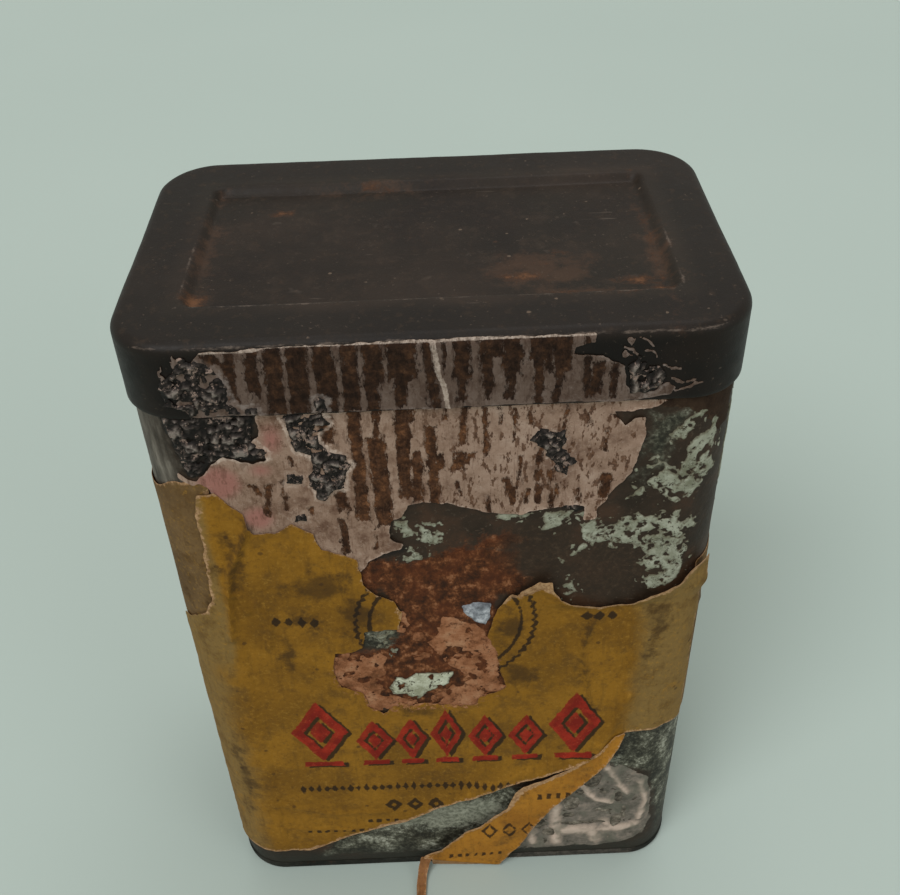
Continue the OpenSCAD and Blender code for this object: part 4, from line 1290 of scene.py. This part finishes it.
SIDE_HOLES = [
    (52, 31, 2.6, 3.4), (44.5, 52, 1.6, 1), (76, 41, 5, 3.2), (97, 22, 2.4, 4), (128.5, 51, 3, 2),
    (123, 18, 1.6, 2.6), (138, 33, 1.2, 1.5), (84, 57, 1.5, 1)]
SIDE_FRAMES = [(34, 53), (67, 106), (120, 139.5)]
SIDE_STAINS = [
    (40, 40, 7, 9), (80, 20, 12, 8), (95, 50, 10, 6), (130, 30, 8, 12), (148, 40, 3, 9), (32, 40, 4, 8)]
SIDE_TIDES = [(50, 52, 8, 8), (90, 36, 13, 9), (124, 20, 9, 8)]
SIDE_CREASES = [
    ([(27, 47), (31, 44), (37, 45.6), (43, 42)], 0.12, 0.4), ([(41, 60), (43, 50), (41.6, 40), (44, 30),
    (43, 20)], 0.14, 0.45), ([(48, 16), (54, 19), (60, 17)], 0.1, 0.4), ([(60, 66), (61, 54), (59.6, 40),
    (61, 24), (60, 6)], 0.1, 0.6), ([(64, 24), (74, 28), (84, 25), (95, 30), (108, 27)], 0.1, 0.45),
    ([(70, 62), (75, 52), (73, 44)], 0.14, 0.4), ([(100, 60), (97, 50), (102, 40), (99, 33)], 0.14, 0.4),
    ([(113, 66), (112, 50), (114, 34), (112, 8)], 0.1, 0.6), ([(116, 40), (124, 38), (132, 41), (141, 38)],
    0.12, 0.4), ([(126, 66), (130, 56), (127, 48)], 0.12, 0.4), ([(133, 26), (136, 16), (134, 7)],
    0.12, 0.4)]


def side_field(x, y):
    """The wrap's outline with holes rubbed through it."""
    field = torn(SIDE_LABEL, 0.35, 1.6, 80)(x, y)
    warp = 1.8 * rough(x, y, 3.2, 81, 5)
    for spot in SIDE_HOLES:
        field = np.minimum(field, -blob(x, y, *spot) - warp)
    return field


def side_lift(x, y, edge):
    """How far the wrap stands off the tin: curled edges, creases, and a step over the seam."""
    curl = (0.2 - 0.11 * smooth(x, 132, 138)) * fade(edge, 0.7) * (1 + 0.6 * rough(x, y, 2.5, 82, 2))
    seam = 0.1 * bell(x - HALF_ROUND, 0.9)
    loose = smooth(x, 29, 33) * np.maximum(1 - smooth(x, 146, 148), smooth(y, 66.4, 67.2) * 0.4)
    ripple = 0.03 * (1 + rough(x, y, 5, 83, 3)) + 0.05 * (1 + rough(x / 2, y, 7, 86, 2)) * smooth(x, 30, 36)
    for line, high, wide in SIDE_CREASES:
        ripple = ripple + high * bell(along(line, x + 0.5 * rough(x, y, 4, 87, 2), y), wide)
    return 0.03 + curl * loose + ripple * (1 - smooth(x, 144, 148)) + seam


def side_ink(x, y, edge):
    """Plain ruled frames with a row of small diamonds, one frame to each face."""
    ink = []
    for low, high in SIDE_FRAMES:
        frame_in = np.minimum(np.minimum(x - low, high - x), np.minimum(y - 9, 58 - y))
        ink += [hollow(frame_in, 0.4), hollow(frame_in - 1, 0.2)]
        middle = (low + high) / 2
        for k in range(-2, 3):
            ink.append(hollow(lozenge(x, y, middle + 3 * k, 33, 1.3, 2), 0.4))
    return np.max(ink, axis=0)


def side_stain(x, y, edge):
    """Stains, tide marks and painted shade along the creases."""
    patches = [blob(x, y, *spot) * 0.25 for spot in SIDE_STAINS]
    tides = [np.abs(blob(x, y, *spot) + 0.6 * rough(x, y, 3, 88, 3)) for spot in SIDE_TIDES]
    # Painted shade along each crease.
    folds = [0.8 - 1.6 * along(line, x + 0.5 * rough(x, y, 4, 87, 2), y) for line, _, _ in SIDE_CREASES]
    return np.max(patches + [0.5 - np.min(tides, axis=0)] + folds, axis=0)


def make_side_label():
    """The buff wrap round the sides and the back."""
    marks = print_marks(ink=side_ink, stain=side_stain, bare=plain_mark(0.25))
    sheet("side_label_sheet", (25.6, 151.2, 4, 71.5), 0.42, side_field, on_wall, side_lift, paper_thickness,
          marks, BUFF, "tin", ["side_label"])


def ply_halo(x, y, edge):
    """Pale picked edge where a scab has broken the paper."""
    field = scab_field(x, y)
    return 0.8 * bell(field + 0.12, 0.3) * (1 - 0.5 * smooth(x, 4, 8))


def ply_rosy(x, y, edge):
    """Where the ply still has a pink tinge."""
    spots = [(-20.6, 67.6, 2.6, 2.6), (-15, 72.6, 1.4, 2.4), (-17.5, 63, 2, 2), (-16.5, 69, 1.6, 1.2)]
    return blobs(x, y, spots)


def ply_dabs(x, y, edge):
    """How strong the short brown dabs are: most on the right."""
    return 0.35 + 0.5 * smooth(x, -4, 2)


def ply_lift(x, y, edge):
    """How far the ply stands off: nearly flat, with its free edges turned up."""
    curl = 0.12 * fade(edge, 0.5) * (1 + rough(x, y, 1.6, 84, 2)) * smooth(-front_field(x, y), 0.1, 0.6)
    return 0.02 + curl + 0.02 * rough(x, y, 2.4, 85, 3)


def ply_thickness(x, y, edge):
    """The ply's thickness, less where rust has run down it."""
    return 0.03 + 0.05 * rise(edge, 0.5) + 0.03 * smooth(upper_streaks(x, y), 0.1, -0.15)


def make_upper_ply():
    """The bare ply above the label's tear."""
    field = torn(UPPER_PLY, 0.3, 1.1, 90)
    marks = ply_marks(streak=upper_streaks, halo=ply_halo, rosy=ply_rosy, dabs=ply_dabs)
    sheet("upper_label_ply", (-25, 21.6, 54.5, 75.4), 0.17, field, on_wall, ply_lift, ply_thickness,
          marks, PLY, "tin", ["label_ply"])


def scrap(name, points, seed, material, pits=9.0, ragged=0.5, high=0.07, islands=()):
    """A small scrap of paper or residue lying flat on the tin, eaten through where pits is low."""
    xs, ys = zip(*points)
    box = (min(xs) - 1, max(xs) + 1, min(ys) - 1, min(max(ys) + 1, SKIRT_Z - 0.2))
    outline = torn(points, ragged, 0.9, seed)

    def field(x, y):
        base = outline(x, y)
        for spot in islands:
            base = np.maximum(base, blob(x, y, *spot) + 0.4 * rough(x, y, 0.8, seed + 9, 3))
        return np.minimum(base, 1.4 * (pits - rough(x, y, 1.2, seed + 4, 4)))

    def thick(x, y, edge):
        return 0.03 + (high - 0.03) * rise(edge, 0.4) * (1 + 0.4 * rough(x, y, 1, seed + 6, 2))

    sheet(name, box, 0.16, field, on_wall, plain_mark(0.02), thick, ply_marks(), material, "tin")


def make_scraps():
    """What is left inside the hole, in the lower right corner and under the lid's right end."""
    scrap("hole_ply", HOLE_PLY, 95, TAN_PLY, 0.22, ragged=0.4, islands=HOLE_SCRAPS)
    scrap("brown_paper_corner", BROWN_CORNER, 97, BROWN_PAPER, 0.5)
    scrap("silver_chip", SILVER_CHIP, 98, CHIP, 9.0, 0.25, 0.16)
    patch = torn(GLUE_PATCH, 0.4, 1.4, 33)

    def field(x, y):
        cells = blobs(x, y, GLUE_CELLS) + 0.25 * rough(x, y, 0.9, 141, 3)
        pits = 1.2 * (0.34 - rough(x, y, 0.9, 143, 4))
        return np.min([patch(x, y), -cells, pits + 3 * glue_height(x, y, 0)], axis=0)

    def thick(x, y, edge):
        return 0.04 + (0.07 + 0.26 * glue_height(x, y, edge)) * rise(edge, 0.5)

    # The glue's height also drives its painted highlight.
    sheet("dried_glue", (8, 26, 1.6, 22.3), 0.15, field, on_wall, plain_mark(0.0), thick,
          {"high": glue_height}, RESIDUE, "tin")


def glue_height(x, y, edge):
    """Height of the glue's ridges and lumps, 0 to 1."""
    sway = 0.3 * rough(x, y, 1.4, 142, 3)
    ridges = np.max([bell(along(line, x + sway, y), wide) for wide, line in GLUE_RIDGES], axis=0)
    return np.clip(ridges + 0.25 * rough(x, y, 0.8, 144, 3), 0, 1)


def make_flakes():
    """Flaking paint above the label, in the hole, and on the sides and back."""
    def thick(x, y, edge):
        return 0.03 + 0.07 * rise(edge, 0.25) + 0.02 * rough(x, y, 0.8, 101, 2)

    def flat(x, y, edge):
        return 0 * x - 0.01

    front = flake_field(FLAKES, 102)
    sheet("paint_flakes_front", (-8.4, 27.6, 41.6, 75.4), 0.14, front, on_wall, flat, thick, {}, FLAKE, "tin")
    patch = torn(CHALK_PATCH, 0.35, 1.0, 105)

    def middle(x, y):
        return np.minimum(patch(x, y), 0.5 - 1.1 * rough(x, y, 0.9, 106, 3))

    sheet("paint_patch_middle", (-7.5, 1.6, 34, 40.4), 0.13, middle, on_wall, plain_mark(0.06), thick, {},
          PALE_FLAKE, "tin")
    sides = flake_field(SIDE_FLAKES, 107, 0.3)
    sheet("paint_flakes_sides", (28, 142, 5, 75.4), 0.3, sides, on_wall, flat, thick, {}, FLAKE, "tin")


def lumps(x, y):
    """Height of rounded lumps from 0 to 1, with sharp valleys between them."""
    return np.clip(np.abs(rough(x, y, 0.8, 111, 3)) * 2.4, 0, 1)


def crust(name, box, field, place, body):
    """Charred lumps standing on what they have burned into."""
    def thick(x, y, edge):
        return 0.05 + (0.1 + 0.34 * lumps(x, y)) * rise(edge, 0.45)

    # How high each point stands, for the painted highlight on the lumps.
    def high(x, y, edge):
        return lumps(x, y) * rise(edge, 0.3)

    sheet(name, box, 0.14, field, place, plain_mark(0.05), thick, {"high": high}, CRUST, body)


def pitted(field, seed, holes=0.5):
    """A field with small pits through it."""
    return lambda x, y: np.minimum(field(x, y), 1.2 * (holes - rough(x, y, 0.9, seed, 3)))


def make_scabs():
    """Charred lumps on the body and on the lid's skirt."""
    crust("charred_scabs", (-25.4, 14.4, 61.8, 75.3), pitted(scab_field, 112, 0.45), on_wall, "tin")
    crust("lid_scabs", (-25, 21.6, 76, 82.4), pitted(skirt_scab_field, 113, 0.3), on_skirt, "lid")


SKIRT_FOLD = [(0, 82.6), (0.15, 81.4), (0.4, 79.8), (0.9, 78), (1.15, 75.7)]


def skirt_halo(x, y, edge):
    """Pale picked edge where a scab has broken the skirt's paper."""
    return 0.7 * bell(skirt_scab_field(x, y) + 0.15, 0.35)


def skirt_fold(x, y, edge):
    """The pale fold down the skirt's paper and its picked top edge."""
    fold = 1.1 * bell(along(SKIRT_FOLD, x + 0.16 * rough(x, y, 0.8, 118, 3), y),
                      0.22 + 0.08 * rough(x, y, 1.5, 137, 2))
    top = 1.2 * bell(y - 82.86 + 0.3 * smooth(-x, 14, 15.5), 0.14)
    return np.maximum(fold, top)


def make_skirt_ply():
    """The ply on the lid's skirt, with chips and curls of it that have come loose."""
    outline = torn(SKIRT_PLY, 0.18, 0.9, 115)

    def field(x, y):
        wave_x, wave_y = 0.5 * rough(x, y, 0.6, 117, 3), 0.5 * rough(x, y, 0.6, 119, 3)
        chips = np.max([blob(x + wave_x, y + wave_y, *chip) for chip in SKIRT_CHIPS], axis=0)
        curls = np.max([0.1 - along(line, x + wave_x / 2, y + wave_y / 2) for line in SKIRT_CURLS], axis=0)
        return np.max([outline(x, y), chips, curls + 0.1 * rough(x, y, 0.6, 120, 2)], axis=0)

    def lift(x, y, edge):
        ridge = 0.14 * bell(along(SKIRT_FOLD, x, y), 0.4)
        curl = 0.06 * fade(edge, 0.35) * smooth(17 - x, 0, 1)
        return 0.01 + ridge + curl + 0.012 * rough(x, y, 2, 116, 2)

    def thick(x, y, edge):
        return 0.03 + 0.05 * rise(edge, 0.4) + 0.03 * smooth(skirt_streaks(x, y), 0.1, -0.15)

    marks = ply_marks(streak=skirt_streaks, halo=skirt_halo, fold=skirt_fold, dabs=plain_mark(0.4))
    sheet("lid_paper_ply", (-24.2, 24.2, 75.62, 83.05), 0.14, field, on_skirt, lift, thick, marks,
          SHADED_SKIRT_PAPER, "lid", ["lid_label_ply"])


# The torn corner of the front label that hangs to the table, drawn as x and length up its own face
TONGUE = [
    (-3.1, 0.35), (-1, 0.3), (2, 0.25), (5.4, 0.2), (6.4, 1.6), (8.2, 4.9), (10, 9.2), (12.6, 13.6),
    (15.6, 17.4), (18.4, 21.2), (19.6, 24.2), (20.5, 27.6), (19.2, 26.8), (17.4, 23.6), (14.8, 21.3),
    (11, 18.8), (8.6, 17.5), (7.6, 16.4), (7, 14.6), (6.6, 13.2), (4.8, 11.3), (3.2, 9.5), (1.2, 8.3),
    (0, 6.8), (-2, 4.4), (-4.2, 2.9), (-4.1, 2.3), (-3.2, 2.3)]
TONGUE_TEAR = [(-4.2, 2.9), (-2, 4.4), (0, 6.8), (3.2, 9.5), (6.6, 13.2), (7.6, 16.4), (11, 18.8),
               (17.4, 23.6)]
FOOT_CREASE = [(-4.2, 2.6), (5.8, 0.5)]
TONGUE_TOP = 27.6
TONGUE_OUT = 0.62


def below_crease(x, y):
    """How far a point of the strip lies below the crease across its foot."""
    (ax, ay), (bx, by) = FOOT_CREASE
    return np.clip(ay + (by - ay) * (x - ax) / (bx - ax) - y, 0, None)


def tongue_place(x, y, out):
    """The strip leans out from the label, bellied, and turns in again below its foot's crease."""
    share = np.clip(1 - y / TONGUE_TOP, 0, 1)
    stand = 0.34 + TONGUE_OUT * share**1.2 + 0.22 * np.sin(math.pi * share) * smooth(x - y, -14, 4)
    crease = 0.12 * bell(along(FOOT_CREASE, x, y), 0.35) - 0.22 * below_crease(x, y)
    curl = 0.2 * bell(inside(TONGUE, x, y), 0.45) * smooth(y, 3, 5)
    return np.stack([x, -HALF_D - stand - crease - curl - out, 0.1 + y * 0.985], -1)


def tail_place(x, y, out):
    """The tail drops from the strip's foot to the table and runs out along it, folded in a V."""
    z = 0.12 + 2.3 * np.exp(-(y / 1.35) ** 1.6) + 0.32 * np.abs(x) + 0.06 * rough(0 * x, y, 1.6, 123, 2)
    ahead = y - 0.9 * (1 - np.exp(-y / 1.1))
    middle = -4.72 + 1.1 * np.exp(-y / 1.3)
    return np.stack([middle + x, -HALF_D - 0.85 - ahead, z + out], -1)


def make_tongue():
    """The hanging strip and its tail, with the print that runs on down it."""
    field = torn(TONGUE, 0.14, 1.0, 120)

    def bare(x, y, edge):
        torn_side = (0.4 + 1.3 * smooth(y, 11, 15) * smooth(y, 24, 17)) * bell(along(TONGUE_TEAR, x, y), 1.5)
        return torn_side + 0.15

    def margin(x, y, edge):
        return smooth(below_crease(x, y), 0.05, 0.25)

    def lift(x, y, edge):
        return 0.03 * rough(x, y, 3, 121, 2)

    def thick(x, y, edge):
        return 0.05 + 0.05 * rise(edge, 1)

    sheet("label_tongue_strip", (-4.8, 21.2, 0.02, 28.2), 0.2, field, tongue_place, lift, thick,
          print_marks(ink=tongue_ink, margin=margin, bare=bare), ORANGE, "tin",
          ["label_tongue"])

    def ribbon(x, y):
        wide = 0.6 + 0.25 * np.exp(-y / 0.8) + 0.08 * rough(0 * x, y, 1.4, 122, 2)
        return np.minimum(wide - np.abs(x), 7.7 - y)

    sheet("label_tongue_tail", (-1.1, 1.1, 0, 7.9), 0.1, ribbon, tail_place, plain_mark(0), plain_mark(0.07),
          print_marks(), TAIL, "tin")


# ---------------------------------------------------------------- camera, light and floor

# Where the camera stands (degrees round, up and tilted), what it looks at and from how far, and its lens
CAMERA_ANGLES = (-0.35, 39.22, -2.11)
CAMERA_AIM, CAMERA_DISTANCE = (1.26, 0, 56.33), 123.49
LENS, SENSOR = 43.88, 36
FLOOR_HALF = 4.0
SKY_COLOUR, SKY_STRENGTH = (0.92, 0.93, 0.86, 1), 0.48


def make_camera():
    """Looks at the front from above, as the photographer held it."""
    azimuth, elevation, roll = (math.radians(a) for a in CAMERA_ANGLES)
    target, distance = Vector(CAMERA_AIM) * MM, CAMERA_DISTANCE * MM
    back = Vector((math.sin(azimuth) * math.cos(elevation), -math.cos(azimuth) * math.cos(elevation),
                   math.sin(elevation)))
    right = (-back).cross(Vector((0, 0, 1))).normalized()
    up = right.cross(-back)
    turned = right * math.cos(roll) + up * math.sin(roll)
    up = up * math.cos(roll) - right * math.sin(roll)
    lens = bpy.data.cameras.new("camera")
    lens.lens, lens.sensor_width = LENS, SENSOR
    lens.clip_start, lens.clip_end = 0.005, 50
    camera = put("camera", lens)
    turn = Matrix((turned, up, back)).transposed().to_4x4()
    camera.matrix_world = Matrix.Translation(target + back * distance) @ turn
    bpy.context.scene.camera = camera


def make_light(name, place, size, power):
    """A round soft light, in metres and watts, aimed at the tin's middle."""
    lamp = bpy.data.lights.new(name, "AREA")
    lamp.shape, lamp.size, lamp.energy = "DISK", size, power
    made = put(name, lamp)
    made.location = place
    aim = Vector((0, 0, 40)) * MM
    made.rotation_euler = (aim - Vector(place)).to_track_quat("-Z", "Y").to_euler()


def make_stage():
    """Plain pale floor and a soft, even studio light."""
    mesh = bpy.data.meshes.new("floor")
    mesh.from_pydata([(a * FLOOR_HALF, b * FLOOR_HALF, 0) for a, b in CORNERS], [], [(0, 1, 2, 3)])
    mesh.materials.append(floor_material())
    put("floor", mesh)
    world = bpy.data.worlds.new("studio")
    world.use_nodes = True
    sky = world.node_tree.nodes["Background"]
    sky.inputs["Color"].default_value, sky.inputs["Strength"].default_value = SKY_COLOUR, SKY_STRENGTH
    bpy.context.scene.world = world
    make_light("key", (-1.75, -2.25, 3.75), 2.5, 122)
    make_light("top", (0.5, 1.25, 4.5), 3, 62)
    make_light("fill", (3, -2.5, 1.75), 2.5, 32)
    bpy.context.scene.view_settings.view_transform = "Standard"


make_camera()
make_stage()

WALL, BASE, LID, SOLDER = wall_material(), base_material(), lid_material(), solder_material()
YELLOW = printed_paper("yellow_label", (137, 96, 26), (113, 78, 21), (124, 98, 54), (146, 104, 34))
BUFF = printed_paper("buff_wrap", (112, 87, 55), (92, 70, 43), (104, 80, 48), (140, 114, 78))
ORANGE = printed_paper("orange_strip", (162, 110, 36), (140, 92, 30), (156, 118, 80), (168, 116, 44))
TAIL = printed_paper("strip_back", (150, 104, 66), (126, 86, 54), (150, 112, 78), (164, 122, 84))
PLY = ply_material("pink_ply")
# The pink ply again, darkened as painted shade for the skirt and turned greyer.
SHADED_SKIRT_PAPER = ply_material("grey_ply_shaded", (0.68, 0.69, 0.71))
BROWN_PAPER = ply_material("brown_ply", (0.38, 0.34, 0.29))
TAN_PLY, RESIDUE, CHIP = tan_material(), residue_material(), chip_material()
CRUST, FLAKE = crust_material(), flake_material("flaking_paint")
PALE_FLAKE = flake_material("pale_paint", 1.25)

make_wall()
make_base()
make_solder()
make_lid()
make_upper_ply()
make_scraps()
make_flakes()
make_scabs()
make_front_label()
make_side_label()
make_tongue()
make_skirt_ply()
